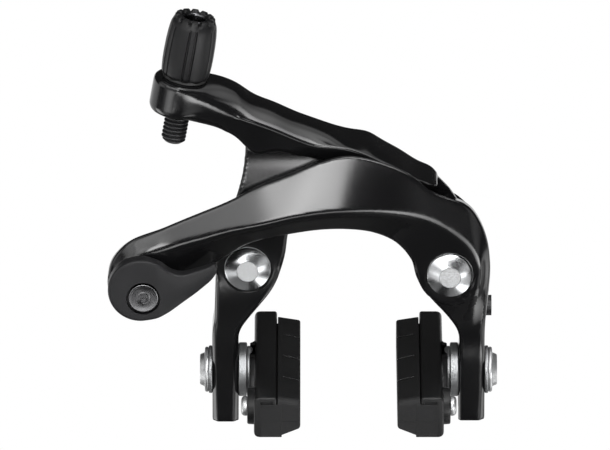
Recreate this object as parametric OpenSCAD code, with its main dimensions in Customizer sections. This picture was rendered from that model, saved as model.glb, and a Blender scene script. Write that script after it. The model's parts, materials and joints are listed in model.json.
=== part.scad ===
// Direct-mount rim brake caliper: two arms on two pivots, joined behind by a booster plate.
// X runs to the right, Y towards the bicycle frame and Z up. The origin lies midway between
// the pivot axes on the rear mounting face. Sizes are in millimetres.

/* [Pivots] */
// Distance between the two pivot axes
pivot_spacing = 49; // [47:0.5:53]
// Diameter of each pivot axle
axle_d = 8; // [7.4:0.1:8.4]
// Diameter of each axle head
axle_head_d = 11; // [10.4:0.1:11.6]
// Thickness of the cylindrical rim of an axle head
axle_rim_t = 0.9; // [0.6:0.1:1.1]
// Height of the conical part of an axle head
axle_cone_h = 1.1; // [0.8:0.1:1.3]
// Diameter of the flat disc in the middle of an axle head
axle_disc_d = 5.4; // [4.6:0.1:6.2]
// Tapping diameter of the M6 hole in the rear end of an axle
axle_tap_d = 5; // [4.6:0.1:5.4]
// Depth of the tapped hole
axle_tap_depth = 11; // [9:0.5:13]
// Wall of the plain bearing bush in each arm
bush_wall = 0.96; // [0.8:0.02:1.1]
// Radial running clearance of each shaft in its bore
run_clear = 0.04; // [0.02:0.01:0.07]
// Axial play of each arm between its thrust washers
axial_play = 0.05; // [0.03:0.01:0.1]
// Thickness of the thrust washers behind the arms
rear_washer_t = 0.5; // [0.4:0.1:0.8]
// Thickness of the thrust washers in front of the arms
front_washer_t = 0.3; // [0.2:0.1:0.5]
// Outer diameter of the thrust washers
thrust_washer_d = 11.2; // [10.6:0.1:11.4]

/* [Booster plate] */
// Thickness of the booster plate
plate_t = 2.5; // [2:0.1:3.5]
// Width of the curved band of the plate
plate_band = 8; // [7:0.5:9]
// Depth of the centre of the band's curve below the pivots
plate_drop = 14; // [12:0.5:16]
// Diameter of the round ends of the plate
plate_end_d = 14; // [13:0.5:15]

/* [Arms] */
// Length of the left arm's pivot boss
left_boss_len = 12; // [11.5:0.5:13]
// Length of the right arm's pivot boss
right_boss_len = 16; // [15.5:0.5:17]
// Diameter of the pivot bosses
boss_d = 15.6; // [15:0.2:16.4]
// Diameter of the hub inside the return spring
hub_d = 11; // [10.8:0.1:11.1]
// Height of the arch above the pivots
arch_clear = 11.65; // [11:0.25:13]
// Gap between the left axle head and the back of the arch
arch_gap = 0.5; // [0.3:0.1:1]
// Depth of the rear spring room of the right arm
spring_room = 6.4; // [6.2:0.1:6.8]
// Distance of the cable anchor outboard of the left pivot
anchor_reach = 25.7; // [25:0.5:27]
// Depth of the cable anchor below the pivots
anchor_drop = 1.2; // [0.5:0.1:2]
// Diameter of the round end of the right arm
anchor_boss_d = 16.4; // [15.6:0.2:17]
// Thickness of the round end of the right arm
anchor_boss_t = 6.7; // [6:0.1:7.4]
// Width of the lower leg of each arm
leg_w = 6.4; // [6:0.1:7]
// Depth of the lower leg of each arm
leg_depth = 10.4; // [9.8:0.2:11]
// Distance from a pivot out to the inner face of the lower leg
leg_offset = 2.2; // [1.8:0.1:2.8]
// Distance from the shoe bolt down to the end of the leg
leg_end = 11.5; // [11.2:0.1:13]
// Length of the chamfer along the arm edges
edge_round = 1.2; // [0.8:0.1:1.5]

/* [Coupling roller] */
// Height of the roller axis above the top of the arch opening
roller_rise = 15.15; // [15.05:0.05:15.3]
// Outer diameter of the roller
roller_d = 7; // [6.8:0.1:7.1]
// Width of the roller
roller_w = 6; // [5.6:0.1:6.2]
// Diameter of the roller pin
roller_pin_d = 3; // [2.6:0.1:3.2]
// Clearance between the roller and its track
track_gap = 0.15; // [0.1:0.05:0.3]
// Side clearance of the roller in its slot
slot_gap = 0.2; // [0.15:0.05:0.3]
// Distance of the roller's mid-plane in front of the mounting face
roller_setback = 12.5; // [12.3:0.1:12.7]

/* [Cable adjuster] */
// Height of the adjuster eye above the pivots
eye_rise = 44.2; // [43:0.1:46]
// Distance of the adjuster eye outboard of the left pivot
eye_reach = 15.9; // [15:0.5:17]
// Distance of the adjuster eye in front of the mounting face
eye_setback = 12.7; // [12:0.1:13.4]
// Diameter of the adjuster eye
eye_d = 14.6; // [14:0.2:15.4]
// Height of the adjuster eye
eye_h = 8.8; // [8:0.2:9.6]
// Outer diameter of the threaded adjuster bolt
adjuster_d = 6; // [5.6:0.1:6.2]
// Length of the bolt that shows below the eye
adjuster_tail = 7.8; // [7:0.2:9]
// Hole for the cable along the bolt
cable_hole_d = 2.4; // [2:0.1:2.8]
// Largest diameter of the adjuster knob
knob_d = 12.2; // [11.6:0.1:12.8]
// Diameter of the top of the knob
knob_top_d = 9.2; // [8.8:0.1:9.6]
// Height of the knob
knob_h = 15.2; // [14.6:0.2:16.4]
// Gap between the eye and the knob
knob_gap = 1; // [0.9:0.1:1.4]
// Number of grooves round the knob
knob_grooves = 12; // [8:1:16]
// Inner diameter of the housing seat, for a 5 mm housing
housing_d = 5.1; // [4.9:0.05:5.3]
// Wall of the housing seat
seat_wall = 0.75; // [0.6:0.05:0.9]
// Depth of the housing seat
seat_h = 8; // [7:0.5:8.5]
// Thickness of the detent ring's cord
ring_cord_d = 0.9; // [0.7:0.1:0.9]

/* [Quick release] */
// Thickness of the lever
lever_t = 3.8; // [3.4:0.1:4.4]
// Gap between the lever and the arm
lever_gap = 0.3; // [0.2:0.05:0.6]
// Diameter of the lever's disc
lever_disc_d = 15.8; // [15.2:0.2:16.4]
// Diameter of the cam shaft
cam_shaft_d = 6; // [5.6:0.1:6.4]
// Diameter of the flange behind the arm
cam_flange_d = 12.4; // [11.6:0.2:13.2]
// Thickness of that flange
cam_flange_t = 4; // [3.6:0.1:4.6]
// Distance of the cable bolt from the shaft axis
cam_throw = 1.7; // [1.4:0.1:2]
// Diameter of the flush screw in the lever
lever_screw_d = 8; // [7.4:0.1:8.6]
// Thickness of the screw's head
lever_screw_t = 1.6; // [1.2:0.1:1.9]
// Diameter of the brake cable that fits the anchor
cable_d = 1.6; // [1.5:0.1:1.8]
// Diameter of the cable fixing bolt
cable_bolt_d = 4; // [3.8:0.1:4.4]
// Thickness of the cable clamp plate
clamp_t = 1.5; // [1.2:0.1:2]

/* [Brake shoes] */
// Distance from the pivots down to the shoe bolt
shoe_drop = 28.4; // [27.5:0.1:30]
// Distance of the shoe bolt in front of the mounting face
shoe_setback = 10; // [9.8:0.1:10.2]
// Diameter of the shoe bolt
shoe_bolt_d = 6; // [5.6:0.1:6.2]
// Length of the height slot between the centres of its round ends
slot_travel = 9; // [8:0.5:9.5]
// Depth of the slot's middle below the shoe bolt
slot_drop = 2; // [1.5:0.1:2.4]
// Length of each pad
pad_len = 55; // [53:0.5:57]
// Height of each pad
pad_h = 10.4; // [10:0.1:11]
// Depth of pad that shows in front of its holder
pad_show = 5.7; // [5:0.1:6.2]
// Depth of pad inside its holder
pad_inside = 3.2; // [2.8:0.1:3.6]
// Thickness of the holder's back
holder_back = 2.3; // [2:0.1:2.8]
// Thickness of the holder's side walls
holder_wall = 1.6; // [1.4:0.1:1.9]
// Clearance round a pad in its holder
pad_clear = 0.2; // [0.1:0.05:0.3]
// Share of the shoe that lies in front of its bolt
front_share = 0.565; // [0.54:0.005:0.6]
// Width of the water grooves in a pad
groove_w = 0.9; // [0.6:0.1:1.2]
// Depth of the water grooves in a pad
groove_depth = 3.4; // [2.5:0.1:4]
// Thickness of the knurled inner washer
knurled_washer_t = 2.05; // [1.8:0.05:2.4]
// Diameter of the knurled inner washer
knurled_washer_d = 13.2; // [12.6:0.2:13.8]
// Thickness of the convex washer
convex_washer_t = 1.75; // [1.5:0.05:2]
// Diameter of the convex washer
convex_washer_d = 11.4; // [10.8:0.2:12]
// Thickness of the outer washer
outer_washer_t = 0.9; // [0.7:0.1:1.2]
// Diameter of the outer washer
outer_washer_d = 11.6; // [11:0.2:12.2]
// Diameter of the shoe bolt's flange
bolt_flange_d = 11; // [10.4:0.2:11.6]
// Thickness of the shoe bolt's flange
bolt_flange_t = 0.9; // [0.7:0.1:1.2]
// Diameter of the foot of the shoe bolt's conical head
bolt_cone_d = 7.8; // [7.4:0.1:8.4]
// Height of the conical head of the shoe bolt
bolt_cone_h = 1.2; // [1:0.1:1.6]
// Width across the flats of the shoe bolt's socket
bolt_socket = 4; // [3.5:0.5:5]
// Depth of the shoe bolt's socket
bolt_socket_depth = 2.6; // [2:0.1:3]
// Diameter of the small screw that keeps a pad in its holder
pad_screw_d = 2.4; // [2:0.1:2.8]
// Diameter of the pad screw's head
pad_screw_head_d = 4.5; // [4:0.1:5]
// Thickness of the pad screw's head
pad_screw_head_t = 1.6; // [1.3:0.1:2]
// Distance of the pad screw from the front end of the shoe
pad_screw_inset = 5.6; // [5:0.1:7]

/* [Return spring] */
// Diameter of the spring wire
wire_d = 1.6; // [1.4:0.05:1.65]
// Mean diameter of the coil
coil_d = 14.3; // [14.2:0.1:14.5]
// Distance from one turn to the next
coil_pitch = 2.15; // [2.1:0.05:2.2]
// Number of turns
coil_turns = 2; // [1:1:2]
// Diameter of the spring centring screw
centring_d = 3; // [2.6:0.1:3.2]
// Diameter of the centring screw's head
centring_head_d = 5; // [4.4:0.1:5.4]

/* [Hidden] */
$fn = 64;

// Overlap that keeps cuts clean
eps = 0.05;
// Reach of a cut that passes right through a piece
through = 60;

// Planes along Y, from the mounting face forwards
plate_front = -plate_t;
boss_rear = plate_front - rear_washer_t;
left_face = boss_rear - left_boss_len;
right_face = boss_rear - right_boss_len;
head_h = axial_play + front_washer_t + axle_rim_t + axle_cone_h;
arch_back = left_face - head_h - arch_gap;
shoulder = boss_rear - spring_room;
leg_front = -shoe_setback - leg_depth / 2;
leg_back = -shoe_setback + leg_depth / 2;
anchor_front = arch_back - anchor_boss_t;
lever_rear = anchor_front - lever_gap;
lever_front = lever_rear - lever_t;

// Places in the XZ plane, given from the feature that carries them
half_spacing = pivot_spacing / 2;
function from_left(dx, dz) = [-half_spacing + dx, dz];
function from_right(dx, dz) = [half_spacing + dx, dz];
function from_arch(dx, dz) = [dx, arch_clear + dz];
function from_anchor(dx, dz) = [-half_spacing - anchor_reach + dx, -anchor_drop + dz];
function from_eye(dx, dz) = [-half_spacing - eye_reach + dx, eye_rise + dz];
function from_shoe(dx, dz) = [half_spacing + dx, -shoe_drop + dz];

left_pivot = from_left(0, 0);
right_pivot = from_right(0, 0);
anchor = from_anchor(0, 0);
lever_axis = from_anchor(0.6, -1.3);
cable_bolt_axis = lever_axis - [cam_throw, 0];
roller_axis = from_arch(0, roller_rise);
bush_d = axle_d + 2 * run_clear + 2 * bush_wall;
head_recess_d = axle_head_d + 1.5;
leg_in = half_spacing + leg_offset;
leg_out = leg_in + leg_w;

// Curve and loft helpers

// Point on a smooth curve between b and c, with a and d before and after them
function curve_point(a, b, c, d, t) =
    0.5 * (2 * b + (c - a) * t + (2 * a - 5 * b + 4 * c - d) * t * t
    + (3 * b - a - 3 * c + d) * t * t * t);

// Smooth curve through points, with a number of steps from each to the next
function smooth_path(points, steps) =
    let (last = len(points) - 1)
    [for (i = [0:last - 1]) for (k = [0:steps - 1])
        curve_point(points[max(i - 1, 0)], points[i], points[i + 1], points[min(i + 2, last)], k / steps),
     points[last]];

// Rows of matching corners turned into smooth rings from the first row to the last
function smooth_rings(rows, steps) =
    let (lines = [for (j = [0:len(rows[0]) - 1]) smooth_path([for (row = rows) row[j]], steps)])
    [for (i = [0:len(lines[0]) - 1]) [for (line = lines) line[i]]];

function unit(v) = v / norm(v);

// A ring whose corners are cut off at a distance along both edges
function bevel_ring(ring, cut) =
    let (n = len(ring))
    [for (i = [0:n - 1])
        let (here = ring[i], before = ring[(i + n - 1) % n] - here, after = ring[(i + 1) % n] - here)
        each [here + unit(before) * min(cut, norm(before) * 0.35),
              here + unit(after) * min(cut, norm(after) * 0.35)]];

function middle(points) = [for (axis = [0:2]) [for (p = points) p[axis]] * [for (p = points) 1] / len(points)];

// Closed solid through rings that run clockwise seen along the way from the first to the last
module loft(rings) {
    n = len(rings[0]);
    last = len(rings) - 1;
    points = concat([for (ring = rings) each ring], [middle(rings[0]), middle(rings[last])]);
    sides = [for (i = [0:last - 1]) for (j = [0:n - 1])
        let (a = i * n + j, b = i * n + (j + 1) % n)
        each [[a, a + n, b + n], [a, b + n, b]]];
    first_cap = [for (j = [0:n - 1]) [n * (last + 1), j, (j + 1) % n]];
    last_cap = [for (j = [0:n - 1]) [n * (last + 1) + 1, last * n + (j + 1) % n, last * n + j]];
    polyhedron(points, concat(sides, first_cap, last_cap));
}

// Placing helpers

// Cylinder along Y between two planes
module y_cylinder(place, d, from_y, to_y) {
    translate([place[0], from_y, place[1]])
        rotate([-90, 0, 0])
            cylinder(d = d, h = to_y - from_y);
}

// Turned piece about a Y axis, drawn as radius and distance backwards from a plane
module y_turned(place, from_y) {
    translate([place[0], from_y, place[1]])
        rotate([-90, 0, 0])
            rotate_extrude()
                children();
}

// Cylinder along X between two planes
module x_cylinder(from_x, to_x, y, z, d) {
    translate([from_x, y, z])
        rotate([0, 90, 0])
            cylinder(d = d, h = to_x - from_x);
}

// Turned piece about an X axis, drawn as radius and distance to the right of a plane
module x_turned(from_x, y, z) {
    translate([from_x, y, z])
        rotate([0, 90, 0])
            rotate_extrude()
                children();
}

// Outline in the XZ plane made into a slab between two planes along Y
module y_slab(from_y, to_y) {
    translate([0, to_y, 0])
        rotate([90, 0, 0])
            linear_extrude(to_y - from_y)
                children();
}

// Hexagonal socket of a given width across flats, standing along Z
module hex_prism(across_flats, depth) {
    cylinder(d = across_flats / cos(30), h = depth, $fn = 6);
}

// The same shape on the right side, or mirrored to the left
module on_side(side) {
    if (side == "left") mirror([1, 0, 0]) children();
    else children();
}

// Booster plate, axles and washers

module booster_plate() {
    band_r = norm([half_spacing, plate_drop]);
    color("dimgray")
        y_slab(plate_front, 0)
            difference() {
                union() {
                    intersection() {
                        translate([0, -plate_drop])
                            difference() {
                                circle(r = band_r + plate_band / 2, $fn = 180);
                                circle(r = band_r - plate_band / 2, $fn = 180);
                            }
                        translate([-through, 0])
                            square([2 * through, through]);
                    }
                    translate(left_pivot) circle(d = plate_end_d);
                    translate(right_pivot) circle(d = plate_end_d);
                }
                translate(left_pivot) circle(d = axle_d);
                translate(right_pivot) circle(d = axle_d);
            }
}

module pivot_axle(place, face) {
    head_front = face - head_h;
    rim_rear = axle_cone_h + axle_rim_t;
    color("silver")
        difference() {
            y_turned(place, head_front)
                polygon([
                    [0, 0], [axle_disc_d / 2, 0], [axle_head_d / 2, axle_cone_h],
                    [axle_head_d / 2, rim_rear], [axle_d / 2, rim_rear],
                    [axle_d / 2, -head_front], [0, -head_front]
                ]);
            y_cylinder(place, axle_tap_d, -axle_tap_depth, eps);
        }
}

module left_pivot_axle() {
    pivot_axle(left_pivot, left_face);
}

module right_pivot_axle() {
    pivot_axle(right_pivot, right_face);
}

module thrust_washer(place, from_y, to_y) {
    difference() {
        y_cylinder(place, thrust_washer_d, from_y, to_y);
        y_cylinder(place, axle_d, from_y - eps, to_y + eps);
    }
}

module thrust_washers() {
    color("gray") {
        thrust_washer(left_pivot, boss_rear + axial_play, plate_front);
        thrust_washer(right_pivot, boss_rear + axial_play, plate_front);
        thrust_washer(left_pivot, left_face - axial_play - front_washer_t, left_face - axial_play);
        thrust_washer(right_pivot, right_face - axial_play - front_washer_t, right_face - axial_play);
    }
}

module arm_bush(place, face) {
    color("goldenrod")
        difference() {
            y_cylinder(place, bush_d, face, boss_rear);
            y_cylinder(place, axle_d + 2 * run_clear, face - eps, boss_rear + eps);
        }
}

module left_bush() {
    arm_bush(left_pivot, left_face);
}

module right_bush() {
    arm_bush(right_pivot, right_face);
}

// Right arm: cable anchor at the left end, arch over the wheel, right pivot and right leg

// Corners of one section: outer edge, ridge, inner edge and the two rear corners
function arm_section(outer, outer_y, ridge, ridge_y, inner, inner_y, rear_y, outer_rear_y) = [
    [outer[0], outer_y, outer[1]], [ridge[0], ridge_y, ridge[1]], [inner[0], inner_y, inner[1]],
    [inner[0], rear_y, inner[1]], [outer[0], is_undef(outer_rear_y) ? rear_y : outer_rear_y, outer[1]]
];

// Section of the lower leg at two heights on its outer and inner faces
function leg_section(outer_z, inner_z, front_y) = arm_section(
    from_shoe(leg_offset + leg_w, outer_z), front_y + 0.4,
    from_shoe(leg_offset + leg_w * 0.5, (outer_z + inner_z) / 2), front_y,
    from_shoe(leg_offset, inner_z), front_y + 0.4, leg_back);

right_arm_rows = [
    arm_section(from_anchor(-7.1, 4.2), arch_back - 3.2, from_anchor(-6.2, 3.4), arch_back - 5.6,
        from_anchor(-1.6, -8.0), arch_back - 3.2, arch_back),
    arm_section(from_anchor(-4.7, 8.5), arch_back - 3.5, from_anchor(-3.3, 7.2), arch_back - 6.5,
        from_anchor(1.2, -8.2), arch_back - 3.5, arch_back),
    arm_section(from_anchor(5.8, 14.7), arch_back - 4.2, from_anchor(8.0, 11.15), arch_back - 6.2,
        from_anchor(9.4, 1.3), arch_back - 3.2, arch_back),
    arm_section(from_left(-12.1, 17.0), arch_back - 4.2, from_left(-10.9, 12.5), arch_back - 6.7,
        from_left(-7.3, 4.3), arch_back - 3.2, arch_back),
    arm_section(from_left(-4.1, 20.5), arch_back - 4.2, from_left(-4.2, 14.6), arch_back - 7.2,
        from_left(-1.1, 7.9), arch_back - 3.2, arch_back),
    arm_section(from_left(2.7, 24.1), arch_back - 3.7, from_left(2.6, 15.8), arch_back - 7.7,
        from_left(4.0, 9.7), arch_back - 3.2, arch_back),
    arm_section(from_arch(-14.2, 15.35), arch_back - 3.2, from_arch(-14.2, 5.65), arch_back - 7.7,
        from_arch(-14.2, -0.85), arch_back - 2.7, arch_back + 2.3),
    arm_section(from_arch(-7.2, 18.25), arch_back - 2.7, from_arch(-7.2, 6.15), arch_back - 7.2,
        from_arch(-7.1, 0.05), arch_back - 2.2, arch_back + 4.3),
    arm_section(from_arch(0, 19.65), arch_back - 2.2, from_arch(0, 6.25), arch_back - 6.7,
        from_arch(0, 0), arch_back - 1.7, arch_back + 5.3),
    arm_section(from_arch(7.8, 17.95), right_face - 1, from_arch(7.8, 5.55), right_face - 4.5,
        from_arch(6.3, -1.15), right_face, shoulder - 1.6),
    arm_section(from_arch(14.8, 14.35), right_face - 0.5, from_arch(15.9, 3.9), right_face - 3,
        from_arch(11.6, -3.75), right_face, shoulder),
    arm_section(from_right(-3.3, 20.4), right_face, from_right(-1.5, 12.7), right_face - 2,
        from_right(-9.5, 3.7), right_face, shoulder),
    arm_section(from_right(3.6, 18.2), right_face + 1, from_right(4.5, 8.1), right_face - 2,
        from_right(-8.9, 1.9), right_face, shoulder, right_face + 4.4),
    arm_section(from_right(8.4, 10.9), right_face + 1, from_right(7.4, 2.3), right_face - 2,
        from_right(-8.0, -1.6), right_face, shoulder, right_face + 6),
    arm_section(from_right(9.8, 2.8), right_face + 1, from_right(6.9, -3.3), right_face - 1.5,
        from_right(-5.3, -6.2), right_face + 1, shoulder, shoulder - 1),
    arm_section(from_right(9.3, -6.9), right_face + 2, from_right(5.6, -9.4), right_face + 1,
        from_right(-0.5, -12.0), right_face + 2, leg_back - 0.2),
    leg_section(12.7, 11.2, leg_front),
    leg_section(3.5, 4.0, leg_front),
    leg_section(-leg_end, -leg_end, leg_front)
];

// Place of a point in the right arm's frame after both arms have closed by an angle
function turned(point, angle) = [
    point[0] * cos(angle) + point[1] * sin(angle), point[1] * cos(angle) - point[0] * sin(angle)
];
function seen_from_right_arm(point, angle) =
    right_pivot + turned(left_pivot + turned(point - left_pivot, -angle) - right_pivot, -angle);

// Roller track: the envelope of the roller's path, a clearance below it
track_from = -5;
track_to = 8;
function track_point(angle) =
    let (here = seen_from_right_arm(roller_axis, angle),
         way = unit(seen_from_right_arm(roller_axis, angle + 0.5) - seen_from_right_arm(roller_axis, angle - 0.5)))
    here + (roller_d / 2 + track_gap) * [-way[1], way[0]];

// Radius of the floor under the hump, about the midpoint between the pivots
hump_floor_r = norm(roller_axis) - 4.2;

module hump_room() {
    floor_arc = [for (a = [116:-4:60]) hump_floor_r * [cos(a), sin(a)]];
    y_slab(arch_back - 1, through)
        polygon(concat(
            [from_left(2.5, arch_clear + 12.85), from_left(12.5, arch_clear + 10.6)],
            floor_arc,
            [from_right(-6.5, 17), from_right(-0.5, 15), from_right(1.1, 16), from_right(1.5, through),
             from_left(2.5, through)]));
}

module track_rail() {
    rail_half = roller_w / 2 - eps;
    track = [for (a = [track_from:1:track_to]) track_point(a)];
    first_x = track[0][0];
    last_x = track[len(track) - 1][0];
    y_slab(-roller_setback - rail_half, -roller_setback + rail_half)
        polygon(concat([[last_x, arch_clear + 3], [first_x, arch_clear + 3]], track));
    y_slab(arch_back - 1.2, -roller_setback + rail_half)
        polygon([[last_x, arch_clear + 1.6], [last_x, arch_clear + 9], [first_x, arch_clear + 9],
                 [first_x, arch_clear + 1.6]]);
}

module height_slot(side) {
    slot_d = shoe_bolt_d + 0.3;
    middle_z = -shoe_drop - slot_drop;
    on_side(side)
        translate([leg_in - through / 2, -shoe_setback, middle_z])
            rotate([0, 90, 0])
                linear_extrude(through) {
                    translate([-slot_travel / 2, 0]) circle(d = slot_d);
                    translate([slot_travel / 2, 0]) circle(d = slot_d);
                    square([slot_travel, slot_d], center = true);
                }
}

// Room behind the right arm for the coil, and the groove for the spring's lower leg
module spring_cut() {
    y_cylinder(right_pivot, coil_d + wire_d + 1.2, shoulder, through);
    y_slab(shoulder, through)
        polygon([from_right(1.8, -4), from_right(7.9, -1), from_right(7.7, -5), from_right(6.0, -9.6),
                 from_right(5.1, -15.4), from_right(2.6, -15.4), from_right(2.9, -9)]);
}

module right_arm() {
    color("black")
        difference() {
            union() {
                difference() {
                    union() {
                        loft([for (ring = smooth_rings(right_arm_rows, 3)) bevel_ring(ring, edge_round)]);
                        y_cylinder(anchor, anchor_boss_d, anchor_front, arch_back + 0.3);
                        y_cylinder(right_pivot, boss_d, right_face, shoulder);
                    }
                    hump_room();
                    spring_cut();
                }
                track_rail();
                y_cylinder(right_pivot, hub_d, shoulder - eps, boss_rear);
            }
            y_cylinder(right_pivot, bush_d, -through, boss_rear + eps);
            y_cylinder(right_pivot, head_recess_d, -through, right_face);
            y_cylinder(lever_axis, cam_shaft_d + 2 * run_clear, -through, through);
            height_slot("right");
            x_cylinder(centring_tip, through, centring_y, centring_z, centring_d);
            x_cylinder(centring_seat, through, centring_y, centring_z, centring_head_d + 0.8);
        }
}

// Left arm: stem up from the left pivot, beam with the adjuster eye and the hump, left leg

// Section of the stem: left and right edges, front and rear
function stem_section(left_edge, right_edge, front_y, rear_y) = [
    [left_edge[0], front_y, left_edge[1]], [left_edge[0], rear_y, left_edge[1]],
    [right_edge[0], rear_y, right_edge[1]], [right_edge[0], front_y, right_edge[1]]
];
function left_leg_section(outer_z, inner_z) = stem_section(
    [-leg_out, -shoe_drop + outer_z], [-leg_in, -shoe_drop + inner_z], leg_front, leg_back);

stem_rows = [
    stem_section(from_eye(15.1, -9), from_eye(36, -11), left_face + 1, left_face + 7.6),
    stem_section(from_eye(15.1, -13.8), from_eye(31.4, -14.6), left_face + 1, left_face + 9),
    stem_section(from_eye(14.6, -19), from_eye(29, -19), left_face + 1, left_face + 10),
    stem_section(from_left(-3.1, 18.2), from_left(12.2, 17.4), left_face + 0.8, boss_rear - 1),
    stem_section(from_left(-6.1, 8.7), from_left(9.8, 8.7), left_face + 0.4, boss_rear - 0.5),
    stem_section(from_left(-7.5, 0), from_left(9.0, 2.5), left_face, boss_rear),
    stem_section(from_left(-7.9, -7.7), from_left(6.1, -5.6), left_face - 0.3, boss_rear - 0.5),
    stem_section(from_left(-8.1, -14.2), from_left(1.5, -11.7), left_face - 0.2, leg_back),
    left_leg_section(11.5, 11.5),
    left_leg_section(8.8, 8.8),
    left_leg_section(-leg_end - 0.3, -leg_end - 0.3)
];

beam_front = -roller_setback - roller_w / 2 - slot_gap - 2.6;
beam_rear = -roller_setback + roller_w / 2 + slot_gap + 2.5;

// Section of the beam: rear top edge, front ridge, front and rear lower edges
function beam_section(place, top, ridge, bottom, inset) = [
    [place[0], beam_rear - inset, place[1] + top], [place[0], beam_front + inset, place[1] + ridge],
    [place[0], beam_front + inset + 1.2, place[1] + bottom], [place[0], beam_rear - inset, place[1] + bottom]
];

beam_rows = [
    beam_section(from_eye(0.4, 0), 3.2, 0, -5.2, 1.6),
    beam_section(from_eye(9.4, 0), 2.9, -1.0, -7.3, 0),
    beam_section(from_eye(12.4, 0), 1.4, -2.4, -9.2, 0),
    beam_section(from_eye(15.4, 0), -0.2, -3.7, -11.6, 0),
    beam_section(from_eye(20.4, 0), -2.4, -6.1, -12.2, 0),
    beam_section(from_eye(25.9, 0), -4.8, -8.5, -12.6, 0),
    beam_section(from_arch(-9.4, 0), 25.5, 21.85, 18.35, 0),
    beam_section(from_arch(-3, 0), 22.9, 21.35, 15.85, 0),
    beam_section(from_arch(1.4, 0), 22.7, 19.95, 13.2, 0),
    beam_section(from_arch(7, 0), 20.8, 17.65, 12.6, 0),
    beam_section(from_arch(13.8, 0), 15.8, 14.65, 11.0, 0),
    beam_section(from_arch(17.7, 0), 13.5, 12.25, 9.4, 0.3),
    beam_section(from_arch(21.5, 0), 11.6, 10.85, 8.85, 1.0)
];

// Gap between the back of the arch and the quick release's flange
flange_gap = 0.6;

// The cable runs straight from the anchor up through the eye
cable_y = arch_back + flange_gap + cam_flange_t + cable_d / 2;
cable_x = cable_bolt_axis[0] + cable_bolt_d / 2 + cable_d / 2;
eye_centre = [from_eye(0, 0)[0], -eye_setback, eye_rise];
cable_way = eye_centre - [cable_x, cable_y, lever_axis[1]];
cable_lean = acos(cable_way[2] / norm(cable_way));
cable_turn = atan2(cable_way[1], cable_way[0]);

// Children stand on the cable's axis, at a height above the middle of the eye
module on_cable_axis(height) {
    translate(eye_centre)
        rotate([0, cable_lean, cable_turn])
            translate([0, 0, height])
                children();
}

// Upright eye whose upper and lower faces are square to the cable
module eye_body() {
    intersection() {
        translate([eye_centre[0], eye_centre[1], eye_rise - eye_d])
            cylinder(d = eye_d, h = 2 * eye_d);
        on_cable_axis(-eye_h / 2)
            cylinder(d = 2 * eye_d, h = eye_h);
    }
}

roller_room_r = roller_d / 2 + 0.6;
hook_hole = from_arch(18.4, 9.6);
hook_hole_d = wire_d + 0.6;
hook_boss_d = hook_hole_d + 2.2;

module roller_room() {
    from_y = -roller_setback - roller_w / 2 - slot_gap;
    to_y = -roller_setback + roller_w / 2 + slot_gap;
    y_cylinder(roller_axis, 2 * roller_room_r, from_y, to_y);
    y_slab(from_y, to_y)
        translate([roller_axis[0] - roller_room_r - 1.5, arch_clear])
            square([2 * roller_room_r + 3, roller_rise]);
}

module left_arm() {
    color("black")
        difference() {
            union() {
                loft([for (ring = smooth_rings(stem_rows, 2)) bevel_ring(ring, edge_round)]);
                loft([for (ring = smooth_rings(beam_rows, 2)) bevel_ring(ring, edge_round)]);
                y_cylinder(left_pivot, boss_d, left_face, boss_rear);
                y_cylinder(roller_axis, roller_pin_d + 3.8, beam_front + 0.6, beam_rear);
                y_cylinder(hook_hole, hook_boss_d, -roller_setback, beam_rear - 0.3);
                eye_body();
            }
            roller_room();
            y_cylinder(roller_axis, roller_pin_d, beam_front - eps, beam_rear + eps);
            y_cylinder(left_pivot, bush_d, -through, through);
            y_cylinder(left_pivot, head_recess_d, -through, left_face);
            y_cylinder(hook_hole, hook_hole_d, -roller_setback + 1, through);
            on_cable_axis(-through / 2) cylinder(d = adjuster_d + 2 * run_clear, h = through);
            height_slot("left");
        }
}

module roller_pin() {
    color("silver")
        y_cylinder(roller_axis, roller_pin_d, beam_front + 0.7, beam_rear - 0.1);
}

module sync_roller() {
    color("gray")
        difference() {
            y_cylinder(roller_axis, roller_d, -roller_setback - roller_w / 2, -roller_setback + roller_w / 2);
            y_cylinder(roller_axis, roller_pin_d + 2 * run_clear, -through, through);
        }
}

// Return spring: one wire from the lower leg through the coil to the hook in the hump

coil_r = coil_d / 2;
coil_front = shoulder + wire_d / 2 + 0.4;
coil_rear = coil_front + coil_turns * coil_pitch;
rings_per_turn = 8;
leg_steps = 3;
hook_y = beam_rear + wire_d / 2 + 0.2;

function coil_point(turn) = [
    right_pivot[0] + coil_r * cos(360 * turn), coil_front + coil_pitch * turn,
    right_pivot[1] + coil_r * sin(360 * turn)
];
function spring_place(dx, y, dz) = [right_pivot[0] + dx, y, right_pivot[1] + dz];

lower_leg = [
    spring_place(3.8, coil_front - 0.3, -14), spring_place(4.7, coil_front - 0.3, -9),
    spring_place(6.5, coil_front - 0.25, -4.2), coil_point(0)
];
upper_leg = [
    coil_point(coil_turns), spring_place(6.6, coil_rear + 0.2, 3.2), spring_place(6.3, coil_rear - 0.4, 8.2),
    spring_place(1.9, hook_y, 14.3), [hook_hole[0] + 0.5, hook_y, hook_hole[1] - 2.2],
    [hook_hole[0], hook_y - 0.9, hook_hole[1]], [hook_hole[0], hook_y - 4, hook_hole[1]]
];

spring_path = concat(
    [for (i = [0:len(smooth_path(lower_leg, leg_steps)) - 2]) smooth_path(lower_leg, leg_steps)[i]],
    [for (i = [0:coil_turns * rings_per_turn - 1]) coil_point(i / rings_per_turn)],
    smooth_path(upper_leg, leg_steps));

// The tube's rings are regular polygons square to the path
function spring_ring(i, sides) =
    let (last = len(spring_path) - 1,
         way = unit(spring_path[min(i + 1, last)] - spring_path[max(i - 1, 0)]),
         guess = abs(way[1]) > 0.8 ? [1, 0, 0] : [0, 1, 0],
         across = unit(cross(way, guess)),
         up = cross(across, way))
    [for (k = [0:sides - 1])
        let (a = -360 * k / sides)
        spring_path[i] + wire_d / 2 * (across * cos(a) + up * sin(a))];

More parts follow.
